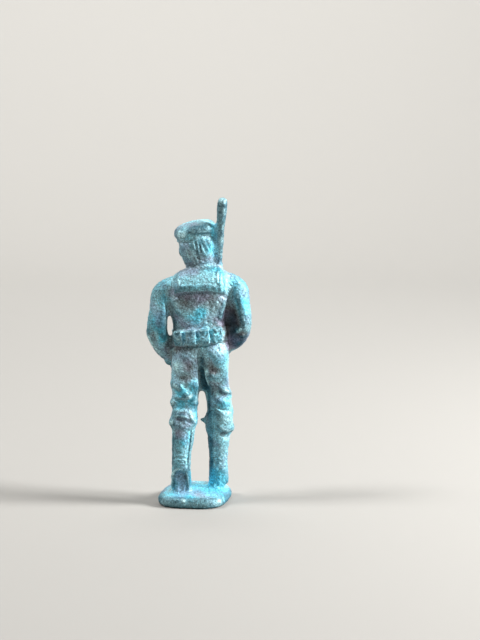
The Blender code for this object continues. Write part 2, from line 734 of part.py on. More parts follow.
def eye_sockets():
    size = (EYE_WIDTH, EYE_WIDTH, 0.55 * EYE_WIDTH)
    return [
        ellipsoid(Vector((side * EYE_SPACING / 2, -0.47 * HEAD_DEPTH, 0.74 * HEAD_HEIGHT)), size)
        for side in (-1, 1)
    ]


def ears():
    size = (2 * EAR_REACH, EAR_LENGTH, EAR_HEIGHT)
    return [ellipsoid(Vector((side * 0.49 * HEAD_WIDTH, 0, 0.66 * HEAD_HEIGHT)), size) for side in (-1, 1)]


def hair_region():
    """Space of the hair: behind the ears, from the nape up to the cap band."""
    half, top = HEAD_WIDTH, HEAD_HEIGHT - SEAM
    return prism([(-half, HAIR_NAPE), (half, HAIR_NAPE), (half, top), (-half, top)], HAIR_EDGE, HEAD_DEPTH)


def crown_profile():
    """Half outline of the soft crown, from its top down its outer side."""
    half, band = CROWN_WIDTH / 2, BAND_WIDTH / 2
    brim = 0.42 * CROWN_HEIGHT
    steps = 8
    body = bmesh.new()
    points = [body.verts.new((0, 0, CROWN_HEIGHT))]
    for step in range(1, steps + 1):
        turn = math.pi / 2 * step / steps
        rise = brim + (CROWN_HEIGHT - brim) * math.cos(turn) ** 0.8
        points.append(body.verts.new((half * math.sin(turn), 0, rise)))
    for step in range(1, steps // 2 + 1):
        turn = math.pi * step / steps
        under = band + (half - band) * math.cos(turn)
        points.append(body.verts.new((under, 0, brim * (1 - math.sin(turn)))))
    points.append(body.verts.new((0, 0, 0)))
    for first, second in zip(points, points[1:]):
        body.edges.new((first, second))
    return body


def band_solid(grow=0.0):
    body = bmesh.new()
    half, depth = BAND_WIDTH / 2 + grow, BAND_HEIGHT + 2 * grow
    bmesh.ops.create_cone(body, cap_ends=True, segments=28, radius1=0.98 * half, radius2=half, depth=depth)
    bmesh.ops.translate(body, vec=Z_AXIS * BAND_HEIGHT / 2, verts=body.verts)
    return body


# Arms and rifle, measured from the middle of the belt's top

def sleeve_solid(arm, grow=0.0):
    """Sleeve from inside the shoulder, round the elbow in one smooth bend, to the wrist."""
    half, bend, end = SLEEVE_WIDTH / 2, ELBOW_WIDTH / 2, WRIST_WIDTH / 2
    inward = Vector((math.copysign(SHOULDER_INSET, -arm.shoulder.x), 0, 0.3 * SHOULDER_INSET))
    upper = arm.shoulder.lerp(arm.elbow, 0.5)
    lower = arm.elbow.lerp(arm.wrist, 0.5)
    line = [(arm.shoulder + inward, 0.9 * half)]
    line.append((arm.shoulder.lerp(arm.elbow, 0.1) - inward * 0.12, half))
    for share in (0.0, 0.25, 0.5, 0.75, 1.0):
        at = upper.lerp(arm.elbow, share).lerp(arm.elbow.lerp(lower, share), share)
        line.append((at, half + (bend - half) * share))
    line.append((arm.wrist, end))
    keys = [Section(Z_AXIS * BELT_TOP + at, radius, radius, radius) for at, radius in line]

    def creases(along, angle):
        return SLEEVE_FOLD * sum(math.exp(-(((along - fold) / 0.035) ** 2)) for fold in (0.5, 0.62))

    return loft(smoothed(keys, 18), sides=16, power=2.2, path=True, reference=Y_AXIS, swell=creases, grow=grow)


def past_wrist(arm, distance):
    run = (arm.wrist - arm.elbow).normalized()
    return Z_AXIS * BELT_TOP + arm.wrist + run * distance


def cuff_solid(arm):
    half = CUFF_WIDTH / 2
    ends = [past_wrist(arm, SEAM), past_wrist(arm, CUFF_LENGTH)]
    return loft([Section(end, half, half, half) for end in ends], sides=18, power=2.2, path=True, reference=Y_AXIS)


def hand_solid(arm):
    """Closed hand: wrist, knuckles and curled fingers along its grasp."""
    start = past_wrist(arm, CUFF_LENGTH + SEAM)
    onward = (arm.wrist - arm.elbow).normalized()
    half = HAND_WIDTH / 2
    profile = [(0.0, 0.66, 0.66), (0.3, 0.95, 0.85), (0.72, 1.0, 0.9), (1.0, 0.55, 0.5)]
    keys = []
    for share, wide, deep in profile:
        way = onward.lerp(arm.grasp.normalized(), share).normalized()
        at = start + way * share * HAND_LENGTH
        keys.append(Section(at, wide * half, deep * half, deep * half))
    return loft(smoothed(keys, 9), sides=14, power=2.4, path=True, reference=Z_AXIS)


def rifle_point(share):
    return Z_AXIS * BELT_TOP + BUTT.lerp(MUZZLE, share)


def stock_solid(grow=0.0):
    """Stock from the butt, through the wrist and receiver, to its end beside the head."""
    half = STOCK_WIDTH / 2
    # Share of the rifle's length, half width, depth in front and behind
    profile = [
        (0.0, half, 0.56 * BUTT_DEPTH, 0.44 * BUTT_DEPTH),
        (0.14, half, 0.38 * BUTT_DEPTH, 0.34 * BUTT_DEPTH),
        (0.25, 0.84 * half, half, 0.9 * half),
        (0.36, half, 1.2 * half, 1.15 * half),
        (0.46, half, 1.1 * half, 1.1 * half),
        (STOCK_SHARE, 0.58 * BARREL_WIDTH, 0.6 * BARREL_WIDTH, 0.6 * BARREL_WIDTH),
    ]
    keys = [Section(rifle_point(share), wide, front, back) for share, wide, front, back in profile]
    return loft(smoothed(keys, 15), sides=14, power=2.6, path=True, grow=grow)


def barrel_solid(grow=0.0):
    """Barrel from the stock's end to a thickened, rounded muzzle."""
    length = (MUZZLE - BUTT).length
    half, muzzle = BARREL_WIDTH / 2, MUZZLE_WIDTH / 2
    keys = [(STOCK_SHARE + SEAM / length, half), (0.8, half), (0.92, muzzle)]
    steps = 4
    for step in range(steps):
        turn = math.pi / 2 * step / steps
        keys.append((1 - muzzle / length * (1 - math.sin(turn)), muzzle * math.cos(turn)))
    sections = [Section(rifle_point(share), radius, radius, radius) for share, radius in keys]
    return loft(sections, sides=16, power=2.0, path=True, grow=grow)


# Assembly

for leftover in list(bpy.data.objects):
    bpy.data.objects.remove(leftover, do_unlink=True)
PARTS = new_collection("toy_sailor")
CUTTERS = new_collection("cutters")

CLOTH = patinated_metal("patinated_uniform", (0.25, 0.36, 0.37), 0.55)
SKIN = patinated_metal("patinated_skin", (0.28, 0.36, 0.36), 0.5)
GEAR = patinated_metal("patinated_equipment", (0.24, 0.32, 0.34), 0.5)
EARTH = patinated_metal("patinated_base", (0.27, 0.45, 0.48), 0.6)

body_frame = add_frame("body_frame", Matrix.Translation((BODY_X, BODY_Y, 0)))
neck_seat = Matrix.Translation((0, 0, NECK)) @ Matrix.Rotation(BODY_TILT, 4, "Y")
head_place = Matrix.Translation((HEAD_SIDE, -HEAD_FORWARD, SEAM)) @ Matrix.Rotation(HEAD_TURN, 4, "Z")
head_frame = add_frame("head_frame", neck_seat @ head_place, body_frame)
cap_frame = add_frame("cap_frame", Matrix.Translation(Z_AXIS * (HEAD_HEIGHT + SEAM)), head_frame)

# The rifle is let into the pieces that it leans on
add_part("rifle_stock", stock_solid(), GEAR, body_frame)
add_part("rifle_barrel", barrel_solid(), GEAR, body_frame)
rifle_room = [
    add_cutter("rifle_stock_room", stock_solid(SEAM), body_frame),
    add_cutter("rifle_barrel_room", barrel_solid(SEAM), body_frame),
]

# Base and legs
add_part("base", base_solid(), EARTH, None)
base_room = add_cutter("base_room", base_solid(SEAM), None)
trouser_room = {}
for leg in (LEFT_LEG, RIGHT_LEG):
    shoe = add_part(f"{leg.name}_shoe", shoe_solid(leg), GEAR, body_frame)
    shape(shoe, "DIFFERENCE", base_room)
    shoe_room = add_cutter(f"{leg.name}_shoe_room", shoe_solid(leg, SEAM), body_frame)
    arch = add_cutter(f"{leg.name}_heel_arch", heel_arch(leg), body_frame)
    legging = add_part(f"{leg.name}_legging", legging_solid(leg), CLOTH, body_frame)
    shape(legging, "DIFFERENCE", shoe_room, arch, base_room)
    trouser = add_part(f"{leg.name}_trouser_leg", trouser_solid(leg), CLOTH, body_frame)
    trouser_room[leg.name] = add_cutter(f"{leg.name}_trouser_room", trouser_solid(leg, SEAM), body_frame)
flash = add_cutter("casting_flash", casting_flash(), body_frame)
shape(flash, "DIFFERENCE", trouser_room["left"])
shape(trouser, "UNION", flash)

# Trunk and belt
add_part("trouser_yoke", yoke_solid(), CLOTH, body_frame)
yoke_room = add_cutter("yoke_room", yoke_solid(SEAM), body_frame)
jumper = add_part("jumper", jumper_solid(), CLOTH, body_frame)
shape(jumper, "DIFFERENCE", *rifle_room)
jumper_room = add_cutter("jumper_room", jumper_solid(SEAM), body_frame)
belt = add_part("cartridge_belt", waist_solid(BELT_THICKNESS), GEAR, body_frame)
shape(belt, "DIFFERENCE", jumper_room)
belt_room = add_cutter("belt_room", waist_solid(BELT_THICKNESS + SEAM), body_frame)
pouch = pouch_mesh()
for i in range(BACK_POUCHES):
    add_pouch(f"back_pouch_{i + 1}", pouch, belt_frame((i - (BACK_POUCHES - 1) / 2) * POUCH_PITCH + POUCH_SHIFT))
pouch_room = {"left": [], "right": []}
for i in range(FRONT_POUCHES):
    distance = BUCKLE_WIDTH / 2 + (i + 0.6) * POUCH_PITCH
    for name, way in (("left", 1), ("right", -1)):
        made = add_pouch(f"{name}_front_pouch_{i + 1}", pouch, belt_frame(way * distance, from_front=True))
        shape(made, "DIFFERENCE", *rifle_room)
        pouch_room[name].append(add_pouch_room(made))
buckle_size = (BUCKLE_WIDTH, BUCKLE_DEPTH, BUCKLE_HEIGHT)
buckle = add_part("belt_buckle", rounded_box(buckle_size, BUCKLE_DEPTH / 4), GEAR, body_frame)
buckle.matrix_basis = belt_frame(0.0, from_front=True)

# Arms
arm_room = []
for arm in (LEFT_ARM, RIGHT_ARM):
    sleeve = add_part(f"{arm.name}_sleeve", sleeve_solid(arm), CLOTH, body_frame)
    cuff = add_part(f"{arm.name}_cuff", cuff_solid(arm), CLOTH, body_frame)
    hand = add_part(f"{arm.name}_hand", hand_solid(arm), SKIN, body_frame)
    shape(sleeve, "DIFFERENCE", jumper_room, belt_room, yoke_room)
    for piece in (sleeve, cuff, hand):
        shape(piece, "DIFFERENCE", trouser_room[arm.name], *pouch_room[arm.name], *rifle_room)
    arm_room.append(add_cutter(f"{arm.name}_sleeve_room", sleeve_solid(arm, SEAM), body_frame))

# Head, hair and cap
head = add_part("head", head_solid(), SKIN, head_frame)
for i, ear in enumerate(ears()):
    shape(head, "UNION", add_cutter(f"ear_{i + 1}", ear, head_frame))
shape(head, "UNION", add_cutter("nose", nose_solid(), head_frame))
for i, socket in enumerate(eye_sockets()):
    shape(head, "DIFFERENCE", add_cutter(f"eye_socket_{i + 1}", socket, head_frame))
shape(head, "DIFFERENCE", *rifle_room)
head_room = add_cutter("head_room", head_solid(SEAM), head_frame)
hair = add_part("hair", head_solid(HAIR_THICKNESS), SKIN, head_frame)
shape(hair, "INTERSECT", add_cutter("hair_region", hair_region(), head_frame))
shape(hair, "DIFFERENCE", head_room, *rifle_room)
band = add_part("cap_band", band_solid(), CLOTH, cap_frame)
crown = add_part("cap_crown", crown_profile(), CLOTH, cap_frame)
crown.location = Vector((CROWN_SLIP, 0, BAND_HEIGHT - CROWN_WIDTH / 2 * math.tan(CROWN_DROOP)))
crown.rotation_euler.y = CROWN_DROOP
screw = crown.modifiers.new("turn", "SCREW")
screw.steps = screw.render_steps = 28
screw.use_merge_vertices = True
screw.merge_threshold = 0.00001
band_room = add_cutter("band_room", band_solid(SEAM), cap_frame)
shape(crown, "DIFFERENCE", band_room)
for piece in (band, crown):
    shape(piece, "DIFFERENCE", *rifle_room)
for piece in (band, crown, band_room):
    piece.scale = (1, CAP_OVAL, 1)

# Collar and neckerchief lie on the jumper like skins of their own thickness
collar_space = add_cutter("collar_space", collar_back(), body_frame)
shape(collar_space, "UNION", add_cutter("lapel_space", collar_front(), body_frame))
collar = add_part("collar", jumper_solid(COLLAR_THICKNESS), CLOTH, body_frame)
shape(collar, "INTERSECT", collar_space)
tape = add_cutter("collar_tape", jumper_solid(COLLAR_THICKNESS + TAPE_RISE), body_frame)
shape(tape, "INTERSECT", add_cutter("tape_space", tape_outline(), body_frame))
shape(collar, "UNION", tape)
shape(collar, "DIFFERENCE", jumper_room, head_room, *arm_room, *rifle_room)
kerchief = add_part("neckerchief", jumper_solid(KERCHIEF_THICKNESS), CLOTH, body_frame)
shape(kerchief, "INTERSECT", add_cutter("kerchief_space", kerchief_outline(), body_frame))
shape(kerchief, "DIFFERENCE", jumper_room, *rifle_room)
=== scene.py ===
"""Looks of the cast toy sailor: the solids are fused like a casting, sculpted, parted again and patinated."""

import json
import math

import bpy
import numpy as np
import openvdb
from mathutils import Matrix, Vector


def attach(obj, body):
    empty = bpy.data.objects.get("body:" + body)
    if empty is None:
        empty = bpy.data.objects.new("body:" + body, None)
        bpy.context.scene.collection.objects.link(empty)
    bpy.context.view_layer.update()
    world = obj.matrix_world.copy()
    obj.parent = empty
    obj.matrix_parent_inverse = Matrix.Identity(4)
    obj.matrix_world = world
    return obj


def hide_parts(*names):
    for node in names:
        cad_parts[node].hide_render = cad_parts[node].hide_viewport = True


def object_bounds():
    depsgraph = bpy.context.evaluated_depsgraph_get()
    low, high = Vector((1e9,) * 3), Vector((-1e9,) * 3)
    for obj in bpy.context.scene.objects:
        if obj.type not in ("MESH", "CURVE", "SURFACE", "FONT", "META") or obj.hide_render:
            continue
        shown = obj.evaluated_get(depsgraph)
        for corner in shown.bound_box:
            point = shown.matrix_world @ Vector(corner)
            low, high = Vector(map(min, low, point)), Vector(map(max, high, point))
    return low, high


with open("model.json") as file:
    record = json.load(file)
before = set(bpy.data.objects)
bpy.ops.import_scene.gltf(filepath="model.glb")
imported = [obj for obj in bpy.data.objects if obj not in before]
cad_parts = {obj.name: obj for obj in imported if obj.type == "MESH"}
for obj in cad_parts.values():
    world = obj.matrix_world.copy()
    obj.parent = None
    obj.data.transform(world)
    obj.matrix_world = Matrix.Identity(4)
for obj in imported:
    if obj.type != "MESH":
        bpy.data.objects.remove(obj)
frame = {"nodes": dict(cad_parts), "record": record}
cad_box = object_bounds()

# The casting is sculpted in millimetres, and its meshes are brought back to metres at the end
METRE = 1000.0

# The camera stood behind the figure, a little above the muzzle, and looked slightly down
CAMERA_AT = np.array([-0.75, 209.4, 50.0])
FOCAL_PIXELS = 1494.0
FRAME_PIXELS = (480, 640)
AIM_DOWN = math.radians(6.57)
AIM_RIGHT = math.radians(1.55)

# Sculpting cells, how many of them either side of a surface carry true distances, and room round a piece
CELL = 0.1
BAND = 9
ROOM = 1.2

# The mould rounds soft pieces more than crisp ones, and molten metal fills narrow gaps between them
CLOTH_ROUNDING = 0.2
EDGE_ROUNDING = 0.06
FILLET = 0.13
CRISP = (
    "collar", "neckerchief", "cartridge_belt", "belt_buckle", "pouch", "cap_band",
    "rifle", "cuff", "shoe", "head", "hand",
)

# How far a piece tucks under its neighbour where the casting is parted
TUCK = 0.08

# Lines of sight: how far from the camera they start, how far they look, and depths through the figure
SIGHT_START = 190.0
SIGHT_REACH = 40.0
DEPTHS = np.arange(14.0, 26.0, 0.2)

# How far lines from the front look
FRONT_REACH = 20.0

# Strokes: steps along them in pixels and on the front, widths that a brush reaches, strength at their ends
PIXEL_STEP = 0.7
FRONT_STEP = 0.1
BRUSH_REACH = 2.2
END_STRENGTH = 0.25


# Sculpting cells

def cells_of(low, high):
    """First cell and number of cells of a box."""
    first = np.floor(np.asarray(low) / CELL).astype(int)
    last = np.ceil(np.asarray(high) / CELL).astype(int)
    return first, last - first + 1


FIRST, COUNT = cells_of(np.array(cad_box[0]) * METRE - ROOM, np.array(cad_box[1]) * METRE + ROOM)
CELLS = openvdb.createLinearTransform(voxelSize=CELL)


def distances(points, triangles=None, quads=None, first=FIRST, count=COUNT):
    """Signed distance to a closed surface, over a box of cells."""
    solid = openvdb.FloatGrid.createLevelSetFromPolygons(
        points, triangles=triangles, quads=quads, transform=CELLS, halfWidth=BAND
    )
    box = np.empty(count, np.float32)
    solid.copyToArray(box, ijk=tuple(int(i) for i in first))
    return box


def surface(box, level=0.0, first=FIRST):
    """Points and quads of the surface where a box of distances has a level."""
    solid = openvdb.FloatGrid(CELL * BAND)
    solid.transform = CELLS
    solid.copyFromArray(box, ijk=tuple(int(i) for i in first))
    return solid.convertToQuads(isovalue=level)


def filled(box, radius):
    """A solid whose gaps narrower than twice a radius are filled."""
    points, quads = surface(box, radius)
    swollen = distances(points, quads=quads)
    points, quads = surface(swollen, -radius)
    return distances(points, quads=quads)


def softened(box, width):
    """A box of values under a soft brush of a width."""
    sigma = width / CELL
    reach = max(1, round(2.5 * sigma))
    weights = np.exp(-0.5 * (np.arange(-reach, reach + 1) / sigma) ** 2)
    weights /= weights.sum()
    for axis in range(3):
        size = box.shape[axis]
        padded = np.pad(box, [(reach, reach) if i == axis else (0, 0) for i in range(3)], mode="edge")
        rows = np.moveaxis(padded, axis, 0)
        total = sum(np.float32(weight) * rows[k : k + size] for k, weight in enumerate(weights))
        box = np.moveaxis(total, 0, axis)
    return np.ascontiguousarray(box, np.float32)


def values_at(box, points):
    """Values of a box at points, straight-line between cells."""
    places = np.clip(points / CELL - FIRST, 0, COUNT - 1.001)
    base = np.floor(places).astype(int)
    part = places - base
    total = np.zeros(len(points))
    for corner in np.ndindex(2, 2, 2):
        share = np.prod(np.where(corner, part, 1 - part), axis=1)
        total += share * box[tuple((base + corner).T)]
    return total


def slopes_at(box, points):
    """Unit vectors pointing out of the casting at points."""
    steps = np.eye(3) * CELL
    slope = np.stack(
        [values_at(box, points + step) - values_at(box, points - step) for step in steps], axis=1
    )
    return slope / np.maximum(np.linalg.norm(slope, axis=1, keepdims=True), 1e-9)


# The master: every solid, rounded by the mould and fused into one casting

def solid_of(node):
    """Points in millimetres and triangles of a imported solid."""
    mesh = frame["nodes"][node].data
    mesh.calc_loop_triangles()
    points = np.empty(len(mesh.vertices) * 3, np.float32)
    mesh.vertices.foreach_get("co", points)
    triangles = np.empty(len(mesh.loop_triangles) * 3, np.int32)
    mesh.loop_triangles.foreach_get("vertices", triangles)
    return points.reshape(-1, 3) * METRE, triangles.reshape(-1, 3).astype(np.uint32)


names = sorted(frame["nodes"])
far = np.float32(CELL * BAND)
cloth = np.full(COUNT, far, np.float32)
gear = np.full(COUNT, far, np.float32)
nearest = np.full(COUNT, far, np.float32)
second = np.full(COUNT, far, np.float32)
owner = np.full(COUNT, -1, np.int16)
boxes = {}
for number, name in enumerate(names):
    points, triangles = solid_of(name)
    first, count = cells_of(points.min(axis=0) - ROOM, points.max(axis=0) + ROOM)
    last = np.minimum(first + count, FIRST + COUNT)
    first = np.maximum(first, FIRST)
    field = distances(points, triangles, first=first, count=last - first)
    here = tuple(slice(a, b) for a, b in zip(first - FIRST, last - FIRST))
    boxes[name] = (first, here, field)
    group = gear if any(word in name for word in CRISP) else cloth
    group[here] = np.minimum(group[here], field)
    closer = field < nearest[here]
    second[here] = np.where(closer, nearest[here], np.minimum(second[here], field))
    owner[here] = np.where(closer, number, owner[here])
    nearest[here] = np.minimum(nearest[here], field)

cloth = softened(filled(cloth, FILLET), CLOTH_ROUNDING)
casting = softened(filled(np.minimum(cloth, gear), FILLET), EDGE_ROUNDING)


# Sculpting tools: a stroke is laid where the photograph shows it, or at a place on the front

def view_axes():
    """Right, up and forward of the camera."""
    level = np.array([-math.sin(AIM_RIGHT), -math.cos(AIM_RIGHT), 0.0])
    forward = level * math.cos(AIM_DOWN) + np.array([0.0, 0.0, -math.sin(AIM_DOWN)])
    right = np.array([-math.cos(AIM_RIGHT), math.sin(AIM_RIGHT), 0.0])
    return right, np.cross(right, forward), forward


def first_touch(starts, ways, reach):
    """Where lines from starts first meet the casting, left out where they don't."""
    steps = np.arange(0.0, reach, CELL / 2)
    touch = np.full(len(starts), np.nan)
    for i, (start, way) in enumerate(zip(starts, ways)):
        inside = np.nonzero(values_at(casting, start + steps[:, None] * way) < 0)[0]
        if len(inside):
            touch[i] = steps[inside[0]]
    met = ~np.isnan(touch)
    return (starts + touch[:, None] * ways)[met]


def smooth_line(path, spacing):
    """Evenly spaced points on a smooth line through the points of a path."""
    path = np.asarray(path, float)
    if len(path) == 1:
        return path
    ends = np.vstack([2 * path[0] - path[1], path, 2 * path[-1] - path[-2]])
    made = []
    for a, b, c, d in zip(ends, ends[1:], ends[2:], ends[3:]):
        steps = max(2, math.ceil(np.linalg.norm(c - b) / spacing))
        for t in np.arange(steps) / steps:
            made.append(b + 0.5 * t * (c - a + t * (2 * a - 5 * b + 4 * c - d + t * (3 * (b - c) + d - a))))
    return np.array(made + [path[-1]])


def sight(path):
    """Starts and ways of the lines of sight through a line of pixels in the photograph's frame."""
    right, up, forward = view_axes()
    pixels = smooth_line(path, PIXEL_STEP)
    across = (pixels[:, :1] - FRAME_PIXELS[0] / 2) / FOCAL_PIXELS
    over = (FRAME_PIXELS[1] / 2 - pixels[:, 1:]) / FOCAL_PIXELS
    ways = forward + across * right + over * up
    ways /= np.linalg.norm(ways, axis=1, keepdims=True)
    return CAMERA_AT + SIGHT_START * ways, ways


def seen(path):
    """Places on the casting under a line of pixels."""
    return first_touch(*sight(path), SIGHT_REACH)


def through(path):
    """Places all the way through the casting under a line of pixels."""
    starts, ways = sight(path)
    return np.concatenate([starts + depth * ways for depth in DEPTHS])


def ahead(path):
    """Places on the front of the casting at a line of X and Z."""
    line = smooth_line(path, FRONT_STEP)
    starts = np.insert(line, 1, cad_box[0][1] * METRE - ROOM, axis=1)
    return first_touch(starts, np.tile([0.0, 1.0, 0.0], (len(line), 1)), FRONT_REACH)


def brush(places, width, taper):
    """Cells in reach of a line of places, and a brush's strength there, weaker towards a long line's ends."""
    reach = BRUSH_REACH * width
    first, count = cells_of(places.min(axis=0) - reach, places.max(axis=0) + reach)
    last = np.minimum(first + count, FIRST + COUNT)
    first = np.maximum(first, FIRST)
    here = tuple(slice(a, b) for a, b in zip(first - FIRST, last - FIRST))
    ticks = [np.arange(a, b) * CELL for a, b in zip(first, last)]
    grid = np.stack(np.meshgrid(*ticks, indexing="ij"), axis=-1)
    strength = np.zeros(grid.shape[:3], np.float32)
    along = np.linspace(0, 1, len(places))
    fade = np.clip(np.minimum(along, 1 - along) / taper, 0, 1) if len(places) > 1 else np.ones(1)
    for place, share in zip(places, END_STRENGTH + (1 - END_STRENGTH) * fade):
        off = ((grid - place) ** 2).sum(axis=-1) / width**2
        strength = np.maximum(strength, share * np.exp(-off))
    return here, strength


def press(touch, strokes, taper=0.2):
    """Raises the casting along named strokes or, where their rise is below 0, presses it in."""
    for path, width, rise in strokes.values():
        places = touch(path)
        if len(places):
            here, strength = brush(places, width, taper)
            casting[here] -= rise * strength


def web(touch, strokes, radius):
    """Fills gaps narrower than twice a radius near named strokes, where the metal ran across."""
    run = filled(casting, radius)
    for path, width in strokes.values():
        here, strength = brush(touch(path), width, 0.1)
        casting[here] += np.clip(2 * strength, 0, 1) * (run[here] - casting[here])


def melt(touch, strokes, taper=0.1):
    """Runs the casting smooth along named strokes, as a worn mould does."""
    for path, width in strokes.values():
        places = touch(path)
        if len(places):
            here, strength = brush(places, width, taper)
            casting[here] += strength * (softened(casting[here], width / 2) - casting[here])


# Webs of metal that close narrow gaps
web(seen, {
    "between barrel and head": ([(217, 224), (216, 244), (215, 262)], 1.0),
    "inside the right arm": ([(224.5, 306), (224.5, 322)], 1.6),
}, 0.5)

# Worn mould: edges that the solids have and the photograph shows run smooth
melt(seen, {
    "left shoulder": ([(169, 273), (168, 280), (167, 290)], 0.8),
    "right shoulder": ([(227, 272), (230, 279), (233, 288)], 0.8),
    "left shoulder top": ([(172, 273), (163, 277), (157, 282)], 0.7),
    "right shoulder top": ([(222, 271), (232, 275), (241, 279)], 0.7),
    "seat below the belt": ([(172, 350), (185, 352), (200, 351), (215, 350), (228, 347)], 0.8),
    "band over the hair": ([(189, 239.6), (200, 238.6), (213, 237.2)], 0.4),
    "hair over the nape": ([(186, 262), (194, 263), (203, 261), (213, 257)], 0.5),
    "right heel": ([(211, 484), (211.6, 476), (215, 471), (219.6, 476), (221, 484)], 0.8),
    "right heel's middle": ([(215.6, 487), (215.6, 480), (215.4, 473)], 0.8),
    "collar over the nape": ([(192, 266), (203, 266), (214, 264)], 0.5),
    "collar hem tape": ([(181, 289), (190, 288), (203, 287.5), (216, 287)], 0.3),
})

# Cap: the groove over the band, and the crown's soft hang on one side
press(seen, {
    "groove over the band": ([(189, 235.0), (196, 234.3), (204, 233.5), (213, 232.9)], 0.16, -0.38),
    "hanging lobe": ([(178, 234.5), (181, 237.0), (186, 237.5)], 0.55, 0.2),
    "flat band": ([(191, 237.4), (200, 236.4), (213, 235.2)], 0.4, -0.2),
    "hair up to the band": ([(191, 241.4), (200, 240.4), (213, 239.4)], 0.5, 0.26),
    "crown's lower half": ([(190, 230.6), (200, 229.8), (210, 229.2)], 0.6, 0.3),
    "crown beside the barrel": ([(207.5, 226.5), (211.5, 228)], 0.7, 0.3),
    "shade under the lobe": ([(179, 241.5), (184, 241.8), (189, 240)], 0.3, -0.1),
})

# Hair: locks that slant to the nape, the long ones on the left
press(seen, {
    "lock 1": ([(186.6, 249.5), (188.6, 256), (191.2, 262)], 0.16, 0.24),
    "gap 1": ([(188.3, 251.5), (189.6, 255)], 0.12, -0.2),
    "lock 2": ([(190.4, 245), (191.9, 251), (193.8, 257)], 0.15, 0.2),
    "gap 2": ([(190.5, 249), (191.8, 254.5), (192.6, 257)], 0.12, -0.26),
    "lock 3": ([(192.4, 240.5), (193.7, 245), (195.2, 249)], 0.16, 0.16),
    "gap 3": ([(194.6, 241), (195.4, 246), (196.2, 250)], 0.12, -0.2),
    "lock 4": ([(196.4, 240), (197.6, 244), (198.8, 249)], 0.15, 0.09),
    "gap 4": ([(198.6, 243), (199.6, 248), (200.8, 253)], 0.12, -0.2),
    "lock 5": ([(200.4, 244), (202.2, 250), (204.6, 255.5)], 0.16, 0.07),
    "gap 5": ([(201.9, 243), (203.6, 248.5), (205.9, 253)], 0.12, -0.16),
    "lock 6": ([(202.4, 237), (204.8, 242.5), (207.4, 250)], 0.17, 0.05),
    "gap 6": ([(206.4, 241), (207.8, 246), (209.4, 251)], 0.12, -0.09),
    "lock 7": ([(208.4, 238.5), (209.8, 244), (211.2, 250)], 0.2, 0.05),
    "nape strand 1": ([(194.4, 254), (196, 259), (197.4, 263)], 0.14, 0.1),
    "nape strand 2": ([(199.4, 254), (200.8, 259), (202, 263)], 0.14, 0.1),
    "nape hollow": ([(195, 257), (200, 258), (204, 257)], 0.6, -0.14),
    "temple": ([(182, 246), (184, 252), (186.5, 259)], 0.4, 0.1),
})

# Collar: tape along its sides, furrows beside it and the shadow gap under its hem
press(seen, {
    "left tape": ([(178.0, 272), (178.2, 280), (178.6, 287.5)], 0.15, 0.26),
    "right tape": ([(217.4, 271), (217.3, 277), (217.1, 283)], 0.15, 0.22),
    "left furrow": ([(179.8, 272), (180.0, 279), (180.2, 285)], 0.13, -0.22),
    "right furrow": ([(219.1, 273), (219.0, 278), (218.8, 282.5)], 0.13, -0.2),
    "left outer furrow": ([(172.8, 273), (172.6, 280), (172.4, 290)], 0.16, -0.14),
    "right outer edge": ([(222.6, 274), (222.8, 282), (223.6, 291)], 0.2, -0.08),
    "hem shadow": (
        [(174, 297), (180, 294.2), (190, 293.3), (203, 293.0), (213, 293.0), (220, 294), (225, 297.5)],
        0.22, -0.42,
    ),
    "left hem corner": ([(172.6, 296.4), (174.4, 294.8)], 0.2, 0.16),
}, taper=0.08)

# Jumper: a hollow back between two flanks that draw in to the waist
press(seen, {
    "left flank": ([(172.5, 299), (175.5, 306), (179.5, 314)], 0.42, 0.26),
    "left flank crease": ([(175.5, 299.5), (178.5, 306), (181.5, 313)], 0.2, -0.1),
    "right flank": ([(226.4, 299.5), (222.4, 309), (218.6, 321)], 0.42, 0.26),
    "upper back": ([(181, 301), (199, 299), (217, 301)], 1.0, -0.22),
    "middle of the back": ([(186, 309), (199, 308), (213, 309)], 1.1, -0.1),
    "left armpit": ([(167.5, 292), (166.6, 302), (167.2, 312)], 0.3, -0.25),
    "right armpit": ([(233, 287), (230, 299), (227, 309)], 0.3, -0.3),
})

# Belt: flaps of the pouches, and the tip of the strap on the left
press(seen, {
    "strap tip": ([(172.5, 335.2), (175, 337.4), (178.4, 339.6)], 0.15, 0.16),
    "strap edge": ([(169.5, 351.5), (172.5, 349.4), (175.8, 347.2)], 0.16, 0.2),
    "flap 1": ([(173, 331), (176.5, 334.5), (181, 332.5)], 0.13, -0.12),
    "flap 2": ([(186, 333), (190.5, 337.5), (194.5, 332.5)], 0.14, -0.16),
    "flap 3": ([(199, 332), (203.8, 336.8), (208, 331)], 0.14, -0.18),
    "flap 4": ([(212, 329.5), (217, 334), (222, 328.5)], 0.15, -0.26),
    "flap 4 point": ([(214.5, 329), (217, 331.2), (219.5, 328.5)], 0.3, 0.12),
    "line under the pouches": ([(184, 346.6), (196, 346.2), (208, 345.2), (222, 343)], 0.16, -0.16),
}, taper=0.1)

